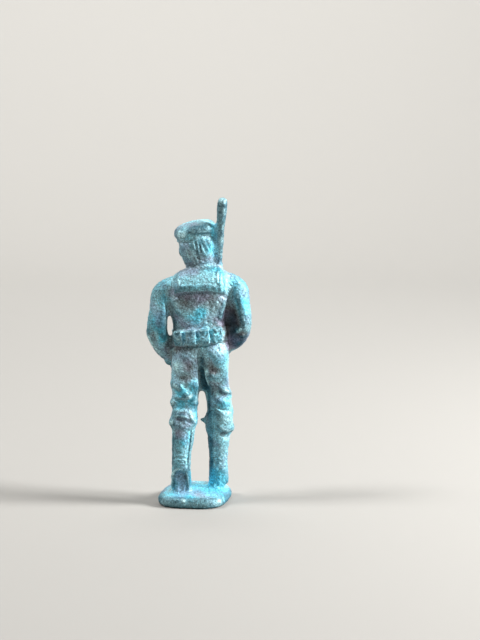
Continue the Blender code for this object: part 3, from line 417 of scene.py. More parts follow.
# Seat and left trouser leg
press(seen, {
    "cleft": ([(199.2, 352), (200.2, 358), (201.0, 366), (201.0, 376), (200.4, 388)], 0.34, -0.7),
    "cleft's right side": ([(202.0, 368), (203.0, 376), (204.8, 386)], 0.42, -0.8),
    "left cheek": ([(186, 357), (189, 365), (187, 372)], 1.1, 0.12),
    "dent in the left cheek": ([(187, 365), (188.5, 369)], 0.6, -0.14),
    "left hip": ([(175.5, 364), (177.5, 369.5)], 0.7, 0.36),
    "hollow below the left cheek": ([(180, 378), (187, 380), (192, 377)], 0.5, -0.2),
    "left knee back 1": ([(173.5, 384), (177, 387), (180.5, 390.5)], 0.42, 0.42),
    "left knee pit": ([(182.6, 384.6)], 0.16, -0.28),
    "left knee hollow": ([(184, 385.5), (188, 387.5), (191.5, 389)], 0.36, -0.34),
    "left knee back 2": ([(184, 394), (188, 396.4), (191.4, 394.4)], 0.42, 0.42),
    "left upper crease": (
        [(173.6, 399.4), (177, 400.8), (183, 402), (188, 401.6), (192.4, 398.6)], 0.2, -0.4
    ),
    "left upper roll": ([(175, 397.4), (180, 398.4), (186, 398.6), (191, 396)], 0.28, 0.34),
    "left upper knob": ([(172.8, 403.2)], 0.6, 0.45),
    "left band": ([(175.5, 405.5), (181, 406.5), (187, 406)], 0.45, -0.28),
    "left blouse": ([(173, 413.5), (179, 414.5), (185, 414)], 0.7, 0.31),
    "left hem crease": ([(176, 418.8), (183, 419.6), (188, 421.2), (192, 423.4), (195.6, 420)], 0.2, -0.4),
    "left hem roll": ([(175, 416.4), (182, 417), (187.4, 418.2)], 0.26, 0.3),
    "below the left hem": ([(176, 422.4), (183, 423.4), (190, 426)], 0.4, -0.24),
    "left hem tab": ([(189.0, 412.5), (191.0, 416.5), (193.4, 421.4)], 0.24, 0.48),
    "left hem knob": ([(170.6, 422.6), (173, 421.6)], 0.5, 0.39),
    "left inner side": ([(194, 386), (194.6, 400), (195.4, 412)], 0.5, 0.17),
})

# Daylight beside the arm, and between the legs up to the crotch
press(through, {
    "crotch": ([(201.6, 393.0), (201.4, 396), (201.2, 399)], 0.3, -1.4),
    "beside the left arm": ([(169.4, 317.5), (169.8, 326), (170.4, 333)], 0.26, -0.8),
    "inside of the right knee": ([(203.4, 393.4), (204.0, 398), (204.6, 405), (205.2, 410)], 0.24, -0.8),
}, taper=0.001)

# Right trouser leg
press(seen, {
    "right cheek": ([(212, 350), (219, 356), (224, 362)], 1.3, 0.2),
    "cheek pit": ([(219.2, 349.8)], 0.14, -0.2),
    "right drape": ([(202.4, 366), (205.6, 370.4), (206.2, 376.5), (208.8, 384.4)], 0.2, 0.45),
    "behind the drape": ([(203.0, 371.5), (203.8, 378), (206, 386)], 0.3, -0.42),
    "slanting fold": ([(206.5, 356), (210, 364.5), (214.5, 370.5), (220.6, 372)], 0.5, -0.48),
    "fold's lower lip": ([(210, 377.5), (215, 376.4), (220, 375.4)], 0.34, 0.22),
    "outer thigh": ([(224, 370), (224.6, 380), (226.4, 389)], 0.7, 0.28),
    "right knee bump": ([(224.5, 390.2), (227.5, 391.4)], 0.36, 0.36),
    "right knee corner": ([(231.4, 391.6)], 0.55, 0.45),
    "right upper crease": ([(218.6, 388.5), (222, 392.6), (226, 394.6), (231.5, 395.6)], 0.2, -0.4),
    "right upper roll": ([(219.4, 386.4), (223, 390), (227, 391.4), (231.4, 392)], 0.3, 0.34),
    "below the right knee": ([(217, 393), (221, 397), (226, 399), (231, 399.6)], 0.5, -0.26),
    "right band": ([(219, 400), (224, 403), (229, 404)], 0.6, 0.22),
    "right middle crease": ([(213.5, 403), (218, 407), (222, 410), (230.5, 411.4)], 0.2, -0.3),
    "right blouse": ([(219, 416), (225, 420), (230, 422)], 0.9, 0.36),
    "right blouse corner": ([(232.4, 427.6)], 0.5, 0.39),
    "right hem crease": ([(215.6, 427.6), (219, 430.6), (223, 432.8), (229, 433.9), (233, 431)], 0.2, -0.42),
    "right hem roll": ([(217.4, 424.6), (221, 428), (226, 430.2), (231.6, 430)], 0.3, 0.3),
    "below the right hem": ([(216.6, 431), (221, 435), (228, 436.6), (232, 435)], 0.45, -0.26),
    "right inner side": ([(209, 392), (210, 402), (211, 414)], 0.6, -0.20),
})

# Leggings: lace strip, ankle line and the rim of the heel opening
press(seen, {
    "left lace strip": ([(190.6, 430), (189.2, 444), (187.4, 457), (187.2, 468)], 0.13, -0.2),
    "left lace edge": ([(192.6, 430), (191.2, 444), (189.6, 457), (189.6, 470)], 0.16, 0.14),
    "left ankle line": ([(173.6, 458.8), (179, 458.0), (186, 458.8)], 0.12, -0.16),
    "left ankle ridge": ([(173.6, 457.0), (179, 456.2), (186, 457)], 0.12, 0.1),
    "right seam": ([(214.8, 434), (215.2, 445), (216, 456), (216.8, 468)], 0.2, -0.1),
    "right ankle": ([(209, 456.6), (214, 456.2), (222, 457.4)], 0.14, -0.08),
    "heel opening": ([(179.6, 476.4), (179.8, 482), (180, 487)], 0.66, -0.5),
    "heel rim": (
        [(171.6, 487), (171.7, 477), (174, 471.6), (178, 469.4), (182.8, 470.4), (186.2, 474), (187.6, 482)],
        0.16, 0.2,
    ),
}, taper=0.05)

# Sleeves: elbows, and the creases inside them
press(seen, {
    "left elbow": ([(148, 331), (148.6, 336)], 0.7, 0.24),
    "left forearm ridge": ([(149, 337), (153, 344.5), (158.5, 351)], 0.3, 0.26),
    "left elbow crease": ([(152, 333), (157, 338), (161, 346)], 0.4, -0.3),
    "left inner arm": ([(162.5, 312), (162.6, 325), (163.5, 339)], 0.7, 0.2),
    "left upper arm hollow": ([(157, 298), (156, 310), (154.5, 322)], 0.6, -0.1),
    "right arm edge": ([(236, 290), (239.4, 303), (242.4, 316), (245, 328)], 0.45, 0.2),
    "right arm hollow": ([(233, 302), (235, 314), (236.5, 326)], 0.8, -0.3),
    "right elbow fold": ([(237.6, 332.6), (239.0, 330.4), (240.6, 328.4)], 0.22, 0.34),
    "right elbow crease": ([(235, 336), (240, 334), (246, 333.4)], 0.34, -0.3),
    "right forearm": ([(231.5, 342), (236, 341), (240, 338)], 0.5, -0.12),
})

# Face: calm and general, laid out by the drawing-book rule of thirds, one eye's width between the eyes
CHIN = 33.6
BROW = 36.45
FACE = 0.08
NOSE_FOOT = (CHIN + BROW) / 2
MOUTH = NOSE_FOOT - (NOSE_FOOT - CHIN) / 3
EYE_LINE = 36.05
EYE = 0.94
for side in (-1, 1):
    out = [FACE + side * EYE * k for k in (0.3, 0.6, 1.0, 1.4, 1.6)]
    press(ahead, {
        "brow": ([(out[0], BROW - 0.05), (out[2], BROW + 0.1), (out[4], BROW - 0.1)], 0.16, 0.24),
        "socket": ([(out[1], EYE_LINE), (out[2], EYE_LINE + 0.03), (out[3], EYE_LINE - 0.05)], 0.26, -0.3),
        "eyeball": ([(out[1], EYE_LINE - 0.03), (out[2], EYE_LINE), (out[3], EYE_LINE - 0.05)], 0.15, 0.22),
        "lower lid": (
            [(out[1], EYE_LINE - 0.2), (out[2], EYE_LINE - 0.26), (out[3], EYE_LINE - 0.2)], 0.1, -0.12
        ),
        "cheek": ([(out[3], NOSE_FOOT + 0.3)], 0.6, 0.12),
        "wing of the nose": ([(out[0], NOSE_FOOT + 0.1)], 0.17, 0.2),
    })
press(ahead, {
    "bridge of the nose": ([(FACE, BROW - 0.1), (FACE, EYE_LINE - 0.3), (FACE, NOSE_FOOT + 0.2)], 0.2, 0.34),
    "tip of the nose": ([(FACE, NOSE_FOOT + 0.2)], 0.26, 0.34),
    "under the nose": ([(FACE - 0.25, NOSE_FOOT - 0.1), (FACE + 0.25, NOSE_FOOT - 0.1)], 0.13, -0.14),
    "upper lip": (
        [(FACE - 0.45, MOUTH + 0.12), (FACE, MOUTH + 0.16), (FACE + 0.45, MOUTH + 0.12)], 0.12, 0.14
    ),
    "mouth": ([(FACE - 0.6, MOUTH), (FACE, MOUTH - 0.02), (FACE + 0.6, MOUTH)], 0.1, -0.24),
    "lower lip": (
        [(FACE - 0.35, MOUTH - 0.18), (FACE, MOUTH - 0.22), (FACE + 0.35, MOUTH - 0.18)], 0.14, 0.17
    ),
    "under the lip": ([(FACE - 0.3, MOUTH - 0.42), (FACE + 0.3, MOUTH - 0.42)], 0.15, -0.14),
    "chin": ([(FACE, CHIN + 0.25)], 0.45, 0.2),
    "under the jaw": ([(-1.5, 33.5), (FACE, 33.2), (1.6, 33.5)], 0.25, -0.3),
})

# Front of the uniform: knot and folds of the neckerchief, cloth drawn to the belt, creases at hips and knees
press(ahead, {
    "knot": ([(-0.95, 28.4), (-0.55, 28.4)], 0.32, 0.3),
    "kerchief fold 1": ([(-0.85, 27.9), (-1.1, 26.2)], 0.12, -0.2),
    "kerchief fold 2": ([(-0.65, 27.9), (-0.4, 26.2)], 0.12, -0.2),
    "left lapel edge": ([(2.2, 31.4), (1.2, 30.1), (-0.3, 28.7)], 0.14, 0.16),
    "right lapel edge": ([(-2.6, 31.2), (-1.9, 30.2), (-1.1, 28.7)], 0.14, 0.16),
    "chest fold 1": ([(3.0, 29.6), (2.5, 27.8), (1.6, 26.0)], 0.34, 0.24),
    "chest crease 1": ([(2.4, 29.2), (1.9, 27.6), (1.1, 26.0)], 0.2, -0.2),
    "chest fold 2": ([(1.0, 27.6), (0.6, 26.4), (0.3, 25.6)], 0.26, 0.16),
    "chest fold 3": ([(-3.9, 29.4), (-3.8, 27.6), (-3.4, 26.0)], 0.34, 0.2),
    "left hip crease 1": ([(0.1, 20.6), (1.0, 20.1), (2.2, 20.2)], 0.2, -0.24),
    "left hip crease 2": ([(0.0, 19.6), (0.9, 18.9), (1.8, 18.7)], 0.22, -0.2),
    "right hip crease 1": ([(-0.6, 20.4), (-1.5, 19.8), (-2.6, 19.7)], 0.2, -0.24),
    "right hip crease 2": ([(-0.7, 19.2), (-1.6, 18.5), (-2.7, 18.3)], 0.22, -0.2),
    "left knee": ([(2.0, 15.0), (2.2, 14.2)], 0.8, 0.3),
    "left knee crease 1": ([(1.0, 13.4), (2.0, 12.9), (3.2, 13.3)], 0.2, -0.36),
    "left knee crease 2": ([(1.2, 12.0), (2.2, 11.4), (3.2, 11.9)], 0.2, -0.3),
    "right knee": ([(-2.8, 14.8), (-2.9, 14.0)], 0.8, 0.3),
    "right knee crease 1": ([(-4.2, 13.0), (-3.1, 12.5), (-1.9, 13.0)], 0.2, -0.36),
    "right knee crease 2": ([(-4.3, 11.6), (-3.3, 11.0), (-2.1, 11.5)], 0.2, -0.3),
})

# Hands, rifle and shoes, as far as a casting this small shows them
press(ahead, {
    "left thumb": ([(2.7, 20.0), (2.35, 19.5), (2.2, 18.9)], 0.2, 0.24),
    "left fingers 1": ([(1.75, 19.5), (2.05, 19.4)], 0.1, -0.22),
    "left fingers 2": ([(1.75, 19.1), (2.05, 19.0)], 0.1, -0.22),
    "left fingers 3": ([(2.55, 19.7), (2.6, 19.2), (2.5, 18.5)], 0.12, -0.2),
    "left fingers 4": ([(3.05, 19.6), (3.05, 19.1), (2.9, 18.6)], 0.12, -0.2),
    "right fingers 1": ([(-4.15, 21.4), (-4.1, 20.8), (-3.95, 20.3)], 0.12, -0.24),
    "right fingers 2": ([(-3.65, 21.5), (-3.6, 20.8), (-3.5, 20.2)], 0.12, -0.24),
    "right fingers 3": ([(-3.15, 21.5), (-3.1, 20.8), (-3.05, 20.3)], 0.12, -0.24),
    "butt plate": ([(-3.9, 22.6), (-2.9, 22.7), (-1.9, 22.6)], 0.1, -0.22),
    "trigger guard": ([(-2.15, 28.1), (-1.9, 27.6), (-2.05, 27.1)], 0.16, 0.3),
    "left toe": ([(1.8, 2.9), (2.3, 2.8), (2.8, 2.9)], 0.7, 0.5),
    "left welt": ([(1.3, 2.2), (2.3, 2.1), (3.3, 2.2)], 0.12, -0.24),
    "right toe": ([(-4.2, 2.9), (-3.7, 2.8), (-3.2, 2.9)], 0.7, 0.5),
    "right welt": ([(-4.7, 2.2), (-3.7, 2.1), (-2.7, 2.2)], 0.12, -0.24),
})

# Base: pits, a worn patch, a drip and a chipped lip
press(seen, {
    "pit 1": ([(180, 493)], 0.18, -0.22),
    "pit 2": ([(206.6, 494.6), (209.6, 496.4)], 0.26, -0.2),
    "pit 3": ([(208, 499)], 0.16, -0.14),
    "worn patch": ([(193, 494), (201, 494.6)], 0.5, -0.1),
    "lip": ([(166, 499), (182, 499.6), (200, 500), (216, 499)], 0.4, 0.1),
    "drip": ([(182.4, 498.6), (184.2, 502.5)], 0.22, 0.16),
    "chip": ([(217, 502), (221, 501)], 0.5, 0.14),
    "notch": ([(223.4, 497.6), (224.6, 500.6)], 0.2, -0.16),
})

# Recesses and edges of the sculpted forms, before the grain goes on
EDGE_WIDTH = 0.16
HOLLOW_WIDTH = 0.45
DEEP_WIDTH = 1.2
edges = softened(casting, EDGE_WIDTH) - casting
hollows = casting - softened(casting, HOLLOW_WIDTH)
deeps = casting - softened(casting, DEEP_WIDTH)

# Casting grain, as width and depth: fine sand, and slower waves from the worn mould
SAND = (0.09, 0.025)
WAVES = (0.9, 0.012)
rng = np.random.default_rng(1911)
grain = np.zeros(COUNT, np.float32)
for width, depth in (SAND, WAVES):
    noise = softened(rng.standard_normal(COUNT).astype(np.float32), width)
    grain += depth * noise / noise.std()

# The underside stays flat
heights = (FIRST[2] + np.arange(COUNT[2])) * np.float32(CELL)
casting = np.maximum(casting + grain, -heights)


# Patina, painted shade and painted highlights, each mark as a pixel or a line of them, reach and amount

# Where the film lies thick or, below 0, dark bare metal shows; the marks below 0 on the right arm's shaded
# inside and in the creases are painted shade
FILM_AND_SHADE_SPOTS = {
    "beside the barrel": ([(214.8, 226), (214.4, 240), (213.8, 256)], 0.45, 1.0),
    "belt": ([(176, 338), (190, 339), (204, 338), (218, 335)], 0.8, 0.25),
    "hip bump": ((176.4, 368), 0.9, 0.5),
    "waist": ([(186, 316), (200, 320), (214, 318)], 1.2, 0.2),
    "cap beside the barrel": ((214, 228), 0.9, 0.5),
    "hair beside the barrel": ((212, 248), 1.2, 0.5),
    "nape": ((209, 267), 1.3, 0.2),
    "shoulder by the barrel": ((218, 268), 1.0, 0.35),
    "cap lobe": ((183, 236), 0.8, 0.6),
    "middle of the hair": ((198, 254), 1.1, -0.35),
    "crown": ((196, 226), 1.2, -0.25),
    "barrel top": ((221, 206), 1.4, -0.2),
    "barrel middle": ((219, 228), 1.6, -0.25),
    "barrel foot": ((217, 250), 1.6, -0.25),
    "right shoulder": ((238, 284), 2.0, 0.4),
    "right upper arm": ((245, 305), 1.8, 0.35),
    "right inner arm": ((232, 318), 1.6, -0.8),
    "right elbow pit": ((233, 334), 1.6, -0.8),
    "right forearm": ((238, 343), 1.2, -0.7),
    "left shoulder": ((160, 284), 1.6, 0.05),
    "left armpit": ((165, 300), 0.8, 0.5),
    "left inner arm": ((163, 322), 1.1, 1.0),
    "left elbow": ((163, 338), 0.9, 0.6),
    "left forearm": ((154, 338), 0.8, -0.4),
    "upper back": ((199, 299), 1.8, -0.1),
    "back's left": ((183, 306), 1.0, -0.2),
    "back's middle": ((201, 312), 0.8, 0.8),
    "lower back": ((193, 320), 0.9, 0.3),
    "above the belt": ((200, 328), 1.2, 0.25),
    "pouch 1": ((178, 338), 0.7, -0.3),
    "pouch gap 1": ((183.4, 336), 0.45, 0.7),
    "pouch gap 2": ((196, 337), 0.5, 0.7),
    "pouch gap 3": ((210.4, 335), 0.5, 0.7),
    "pouch gap 4": ((224, 333), 0.5, 0.5),
    "right cheek": ((215, 351), 1.8, 0.45),
    "left hip": ((176, 349), 0.9, -0.3),
    "left cheek": ((187.5, 366), 1.0, -0.5),
    "left thigh": ((184, 377), 1.1, -0.25),
    "left inner thigh": ((197, 386), 0.9, 0.6),
    "left inner knee": ((196, 402), 0.9, 0.6),
    "left inner hem": ((195.6, 415), 0.8, 0.5),
    "left knee": ((179, 392), 0.8, 0.5),
    "left band": ((181, 406), 0.7, 0.7),
    "left blouse": ((180, 415), 0.9, -0.5),
    "slanting fold": ((213, 371), 0.9, -0.4),
    "right knee inside": ((214, 388), 1.0, -0.35),
    "right knee crease": ((225, 394), 0.5, -0.5),
    "right hem crease": ((225, 432), 0.5, -0.5),
    "right band": ((224, 402), 1.0, 0.4),
    "left legging": ((185, 440), 1.0, 0.35),
    "heel opening": ((180, 480), 0.9, 0.9),
    "left calf": ((177, 434), 0.9, -0.3),
    "base between the feet": ((200, 488), 2.2, 0.9),
    "base by the heel": ((184, 490), 1.6, 0.9),
    "base by the right foot": ((217, 487), 1.8, 0.8),
    "worn patch": ((197, 494.4), 0.5, -0.5),
    "lip's middle": ((203, 503), 1.4, -0.15),
    "lip's left": ((168, 503), 1.2, -0.25),
}

# Painted shade, deep teal, in creases, between the forms and on sides turned from the light
PAINTED_SHADE_SPOTS = {
    "cap groove": ([(190, 234.8), (197, 234.2), (205, 233.4), (213, 232.8)], 0.2, 0.8),
    "collar hem": (
        [(175, 296.6), (181, 294.2), (190, 293.3), (203, 293), (213, 293), (221, 294.4)], 0.22, 0.6
    ),
    "cleft": ([(200.8, 358), (201.8, 368), (202.8, 378), (203.6, 387)], 0.5, 0.9),
    "inside the right thigh": ([(204.6, 381), (206, 388), (207, 396), (208, 408)], 0.5, 0.7),
    "left upper crease": ([(174, 400), (180, 401.6), (187, 401.8), (192, 399)], 0.25, 0.7),
    "left hem crease": ([(177, 419), (183, 419.8), (188, 421.6), (193, 423.6)], 0.22, 0.7),
    "right upper crease": ([(219, 390), (223, 393.6), (227, 395), (231.5, 395.4)], 0.3, 0.7),
    "right middle crease": ([(214, 403.4), (218, 407), (222, 410), (230, 411.4)], 0.22, 0.5),
    "right hem crease": ([(216, 428), (220, 431.6), (225, 433.6), (232, 432.4)], 0.26, 0.7),
    "heel rim": ([(173.6, 487), (173.4, 478), (176, 473), (180, 471.6), (184, 473.6), (186, 480)], 0.2, 0.6),
    "lace strip": ([(190.6, 430), (189.2, 444), (187.4, 457), (187.2, 468)], 0.16, 0.6),
    "left edge of the calf": ([(173.2, 432), (173, 448), (172.6, 466)], 0.2, 0.6),
    "inside the right calf": ([(208.6, 434), (209.4, 450), (209, 470)], 0.6, 0.8),
    "hair's right": ((204.6, 243), 1.1, 0.8),
    "hair's middle": ((198, 254), 1.0, 0.35),
    "right of the cleft 1": ((201.6, 359), 0.4, 0.6),
    "right of the cleft 2": ((202.6, 369), 0.45, 0.7),
    "right of the cleft 3": ((203.6, 379), 0.5, 0.8),
    "right inner thigh": ((206, 390), 0.7, 0.55),
    "right inner knee": ((208, 403), 0.8, 0.55),
    "right inner hem": ((209, 417), 0.8, 0.55),
    "right inner calf": ((210, 442), 0.7, 0.75),
    "right inner ankle": ((209.6, 460), 0.7, 0.75),
    "nape": ([(203, 263), (212, 265)], 0.9, 0.6),
    "heel opening": ((179.6, 477), 0.9, 0.1),
    "under the heel": ((180, 486), 0.7, 0.2),
    "inside the right knee": ((214.5, 389), 1.0, 0.35),
    "right inner arm": ((231, 318), 1.2, 0.5),
    "right elbow": ((233, 333), 1.2, 0.5),
    "right forearm": ((236, 343), 1.0, 0.5),
    "left armpit": ((166.6, 306), 0.4, 0.5),
    "left calf": ((175.6, 440), 0.7, 0.3),
}

# Painted highlights where the light falls brightest, and metal rubbed bright where hands and shelves met the
# figure
RUBBED_AND_HIGHLIGHT_SPOTS = {
    "left upper arm": ((157, 300), 1.6, 0.35),
    "crown's top": ([(180, 226.8), (190, 221), (200, 220), (211, 221.4)], 0.35, 0.6),
    "barrel": ([(220, 206), (219, 230), (217.6, 255)], 0.6, 0.4),
    "base lip": ([(163, 503), (184, 504), (205, 504.6), (222, 502)], 0.5, 0.35),
    "left forearm": ([(148, 334), (150.4, 341), (156, 349), (163, 356)], 0.4, 0.5),
    "drape's edge": ([(202.6, 366), (205.6, 370.6), (206.2, 376.6), (208.6, 384)], 0.22, 0.9),
    "inner edge of the left thigh": ([(198.4, 354), (198.6, 370), (198, 386)], 0.28, 0.5),
    "arch of the heel": ([(171.8, 485), (171.9, 477), (174.2, 471.4), (178, 469.2), (182.8, 470)], 0.2, 0.8),
    "cap lobe": ((181.4, 235.5), 0.9, 1.4),
    "barrel tip": ((221, 200), 0.7, 0.6),
    "barrel edge 1": ((224.2, 212), 0.5, 0.5),
    "barrel edge 2": ((223.4, 226), 0.5, 0.5),
    "barrel edge 3": ((222.4, 240), 0.5, 0.5),
    "barrel edge 4": ((221, 254), 0.5, 0.4),
    "left lock": ((189.6, 254), 0.8, 0.7),
    "left tape": ((178.2, 281), 0.5, 0.4),
    "right tape": ((217.3, 277), 0.4, 0.4),
    "hem corner": ((173.2, 296.4), 0.4, 0.6),
    "left flank": ((176, 306), 0.6, 0.4),
    "left forearm 1": ((149, 338), 0.5, 0.6),
    "left forearm 2": ((153, 345), 0.5, 0.6),
    "left forearm 3": ((158, 351), 0.5, 0.6),
    "right elbow fold": ((239, 330.6), 0.35, 0.8),
    "right elbow": ((247, 328), 0.7, 0.4),
    "strap edge": ((173, 349), 0.4, 0.7),
    "left hip": ((176.4, 367), 1.0, 1.4),
    "right cheek": ((216, 352), 1.5, 0.4),
    "pouches": ([(176, 338), (190, 339), (204, 338), (218, 335)], 0.7, 0.4),
    "left knee": ((175.4, 386), 0.5, 0.5),
    "left knee fold": ((190.4, 396), 0.4, 0.6),
    "left upper knob": ((172.8, 403), 0.5, 0.7),
    "left hem tab": ((191.4, 417.4), 0.45, 0.8),
    "left hem knob": ((171.4, 422.4), 0.5, 0.7),
    "drape": ((206, 373), 0.35, 0.5),
    "wedge of flash": ((203.4, 419), 0.5, 0.9),
    "right knee bump": ((226.6, 390.8), 0.4, 0.6),
    "heel rim": ((172.6, 475), 0.35, 0.5),
    "right shoulder": ((238, 284), 1.5, 0.4),
    "right blouse": ((226, 420), 1.2, 0.5),
    "right calf": ((220, 450), 1.2, 0.3),
    "lip 1": ((184, 501.4), 0.4, 0.7),
    "lip 2": ((220, 502), 0.6, 0.7),
    "lip 3": ((163, 502.6), 0.7, 0.5),
}


def laid_on(marks):
    """Soft marks at pixels, or along lines of them, summed over the cells."""
    total = np.zeros(COUNT, np.float32)
    for path, reach, amount in marks.values():
        here, strength = brush(seen(np.atleast_2d(path)), reach, 0.1)
        total[here] += amount * strength
    return total


film_and_shade_marks, painted_shade_marks, rubbed_and_highlight_marks = (laid_on(marks) for marks in (FILM_AND_SHADE_SPOTS, PAINTED_SHADE_SPOTS, RUBBED_AND_HIGHLIGHT_SPOTS))


# Materials

def hex_colour(code):
    """Linear colour from an sRGB hex value."""
    parts = [int(code[i : i + 2], 16) / 255 for i in (1, 3, 5)]
    return (*[c / 12.92 if c <= 0.04045 else ((c + 0.055) / 1.055) ** 2.4 for c in parts], 1.0)


def add_node(tree, kind, inputs, output=0, **settings):
    """Adds a node with its settings, sets or links its inputs, and gives one of its outputs."""
    node = tree.nodes.new(kind)
    for name, value in settings.items():
        setattr(node, name, value)
    for socket, value in inputs.items():
        if isinstance(value, bpy.types.NodeSocket):
            tree.links.new(value, node.inputs[socket])
        else:
            node.inputs[socket].default_value = value
    return node.outputs[output]


def scaled(tree, value, factor, offset):
    """A value times a factor, plus an offset."""
    return add_node(tree, "ShaderNodeMath", {0: value, 1: factor, 2: offset}, operation="MULTIPLY_ADD")


def laid_over(tree, share, under, over, blend="MIX"):
    """One colour over another, by a share."""
    inputs = {0: share, 6: under, 7: over}
    return add_node(tree, "ShaderNodeMix", inputs, 2, data_type="RGBA", blend_type=blend)


# What breaks the film up, in millimetres. The sand of a small mould is about 0.1 mm, and the grit is drawn
# twice as coarse so that it shows from where the camera stands.
GRIT = 0.2
SPOT = 0.5
CLOUD = 1.8
BLOOM = 2.6

# How far each of the first three breaks the film, and what is taken off to even that out
BREAK = 0.3
BREAK_MEAN = 0.4

# The film's colours from thin to thick, and what lies over them: violet bloom, deep teal for patina and
# painted shade in the hollows, pale for rubbed edges and painted highlights
FILM_COLOURS = ((0.25, "#6c7679"), (0.5, "#809ea6"), (0.75, "#88c2ce"))
THICK_FILM = "#62c0d6"
BLOOM_COLOUR = "#8d8ba6"
HOLLOW_PATINA_AND_SHADE_COLOUR = "#0d5060"
RUBBED_AND_HIGHLIGHT_COLOUR = "#b8e2e8"

# Shine of bare metal and of the film, roughness between and on the grit, and the bump's height in metres
BARE_METALLIC = 0.85
FILM_METALLIC = 0.45
ROUGHNESS = 0.48
GRIT_ROUGHNESS = 0.3
BUMP_HEIGHT = 0.00004


def patinated_bronze(name, metal, bias):
    """Sand-cast bronze left damp: broken blue-green film, dark patina with painted shade in the hollows, pale
    edges where hands rubbed it, with painted highlights.
    """
    material = bpy.data.materials.new(name)
    material.use_nodes = True
    tree = material.node_tree
    shader = tree.nodes["Principled BSDF"]
    where = add_node(tree, "ShaderNodeTexCoord", {}, "Object")
    painted = {
        label: add_node(tree, "ShaderNodeAttribute", {}, "Fac", attribute_name=label)
        for label in ("film_and_shade", "wear_and_painted_highlight", "hollow_patina_and_shade")
    }
    grit, spots, clouds = (
        add_node(
            tree, "ShaderNodeTexNoise",
            {"Vector": where, "Scale": METRE / size, "Detail": 2.0, "Roughness": 0.6},
        )
        for size in (GRIT, SPOT, CLOUD)
    )

    # The film: what lies there, broken up by clouds, spots and grit; below 0 it holds painted shade as dark
    # bare metal
    amount = bias - BREAK_MEAN
    for breaking in (clouds, spots, grit):
        amount = scaled(tree, breaking, BREAK, amount)
    amount = add_node(
        tree, "ShaderNodeMath", {0: amount, 1: painted["film_and_shade"]}, operation="ADD", use_clamp=True
    )
    ramp = tree.nodes.new("ShaderNodeValToRGB")
    tree.links.new(amount, ramp.inputs[0])
    stops = ramp.color_ramp.elements
    stops[0].position, stops[0].color = 0.0, hex_colour(metal)
    stops[1].position, stops[1].color = 1.0, hex_colour(THICK_FILM)
    for at, code in FILM_COLOURS:
        stops.new(at).color = hex_colour(code)

    # Violet-grey bloom, deep teal patina and painted shade in the hollows, and pale rubbed edges with painted
    # highlights
    bloom = add_node(tree, "ShaderNodeTexNoise", {"Vector": where, "Scale": METRE / BLOOM, "Detail": 1.0})
    bloom = add_node(
        tree, "ShaderNodeMapRange", {"Value": bloom, "From Min": 0.47, "From Max": 0.67, "To Max": 0.55}
    )
    colour = laid_over(tree, bloom, ramp.outputs[0], hex_colour(BLOOM_COLOUR))
    colour = laid_over(tree, painted["hollow_patina_and_shade"], colour, hex_colour(HOLLOW_PATINA_AND_SHADE_COLOUR))
    # Pale rubbed edges, with painted highlights laid on them
    wear_and_highlight_share = add_node(
        tree, "ShaderNodeMapRange", {"Value": spots, "From Min": 0.2, "From Max": 0.55, "To Max": 0.8}
    )
    wear_and_highlight_share = add_node(
        tree, "ShaderNodeMath", {0: wear_and_highlight_share, 1: painted["wear_and_painted_highlight"]}, operation="MULTIPLY", use_clamp=True
    )
    colour = laid_over(tree, wear_and_highlight_share, colour, hex_colour(RUBBED_AND_HIGHLIGHT_COLOUR))
    speckle = add_node(
        tree, "ShaderNodeMapRange",
        {"Value": grit, "From Min": 0.32, "From Max": 0.68, "To Min": 0.45, "To Max": 1.5},
    )
    colour = laid_over(tree, 1.0, colour, speckle, "MULTIPLY")
    tree.links.new(colour, shader.inputs["Base Color"])

    # Bare metal shines, the film is dull
    bare = add_node(
        tree, "ShaderNodeMapRange",
        {"Value": amount, "From Max": 0.7, "To Min": BARE_METALLIC, "To Max": FILM_METALLIC},
    )
    tree.links.new(bare, shader.inputs["Metallic"])
    tree.links.new(scaled(tree, grit, GRIT_ROUGHNESS, ROUGHNESS), shader.inputs["Roughness"])
    height = scaled(tree, spots, 0.2, grit)
    bump = add_node(tree, "ShaderNodeBump", {"Strength": 0.7, "Distance": BUMP_HEIGHT, "Height": height})
    tree.links.new(bump, shader.inputs["Normal"])
    return material


MATERIALS = {
    "patinated_uniform": patinated_bronze("tarnished_cast_bronze_cloth", "#545359", 0.36),
    "patinated_skin": patinated_bronze("tarnished_cast_bronze_skin", "#5a544f", 0.38),
    "patinated_equipment": patinated_bronze("tarnished_cast_bronze_gear", "#544f50", 0.38),
    "patinated_base": patinated_bronze("verdigris_cast_bronze_base", "#5c5652", 0.45),
}


# Parting the casting again into its named pieces

# Depths at which a pit, an edge, a hollow and a deep place count in full
FULL_PIT = 0.03
FULL_EDGE = 0.07
FULL_HOLLOW = 0.16
FULL_DEEP = 0.5

# What they give the patina: film in pits and deep places, wear on edges, dark patina and painted shade in
# hollows
PIT_FILM = 0.06
DEEP_FILM = 0.3
EDGE_START = 0.3
EDGE_WEAR = 0.5
HOLLOW_GAIN = 1.1
HOLLOW_START = 0.15
MOST_SHADE = 0.85


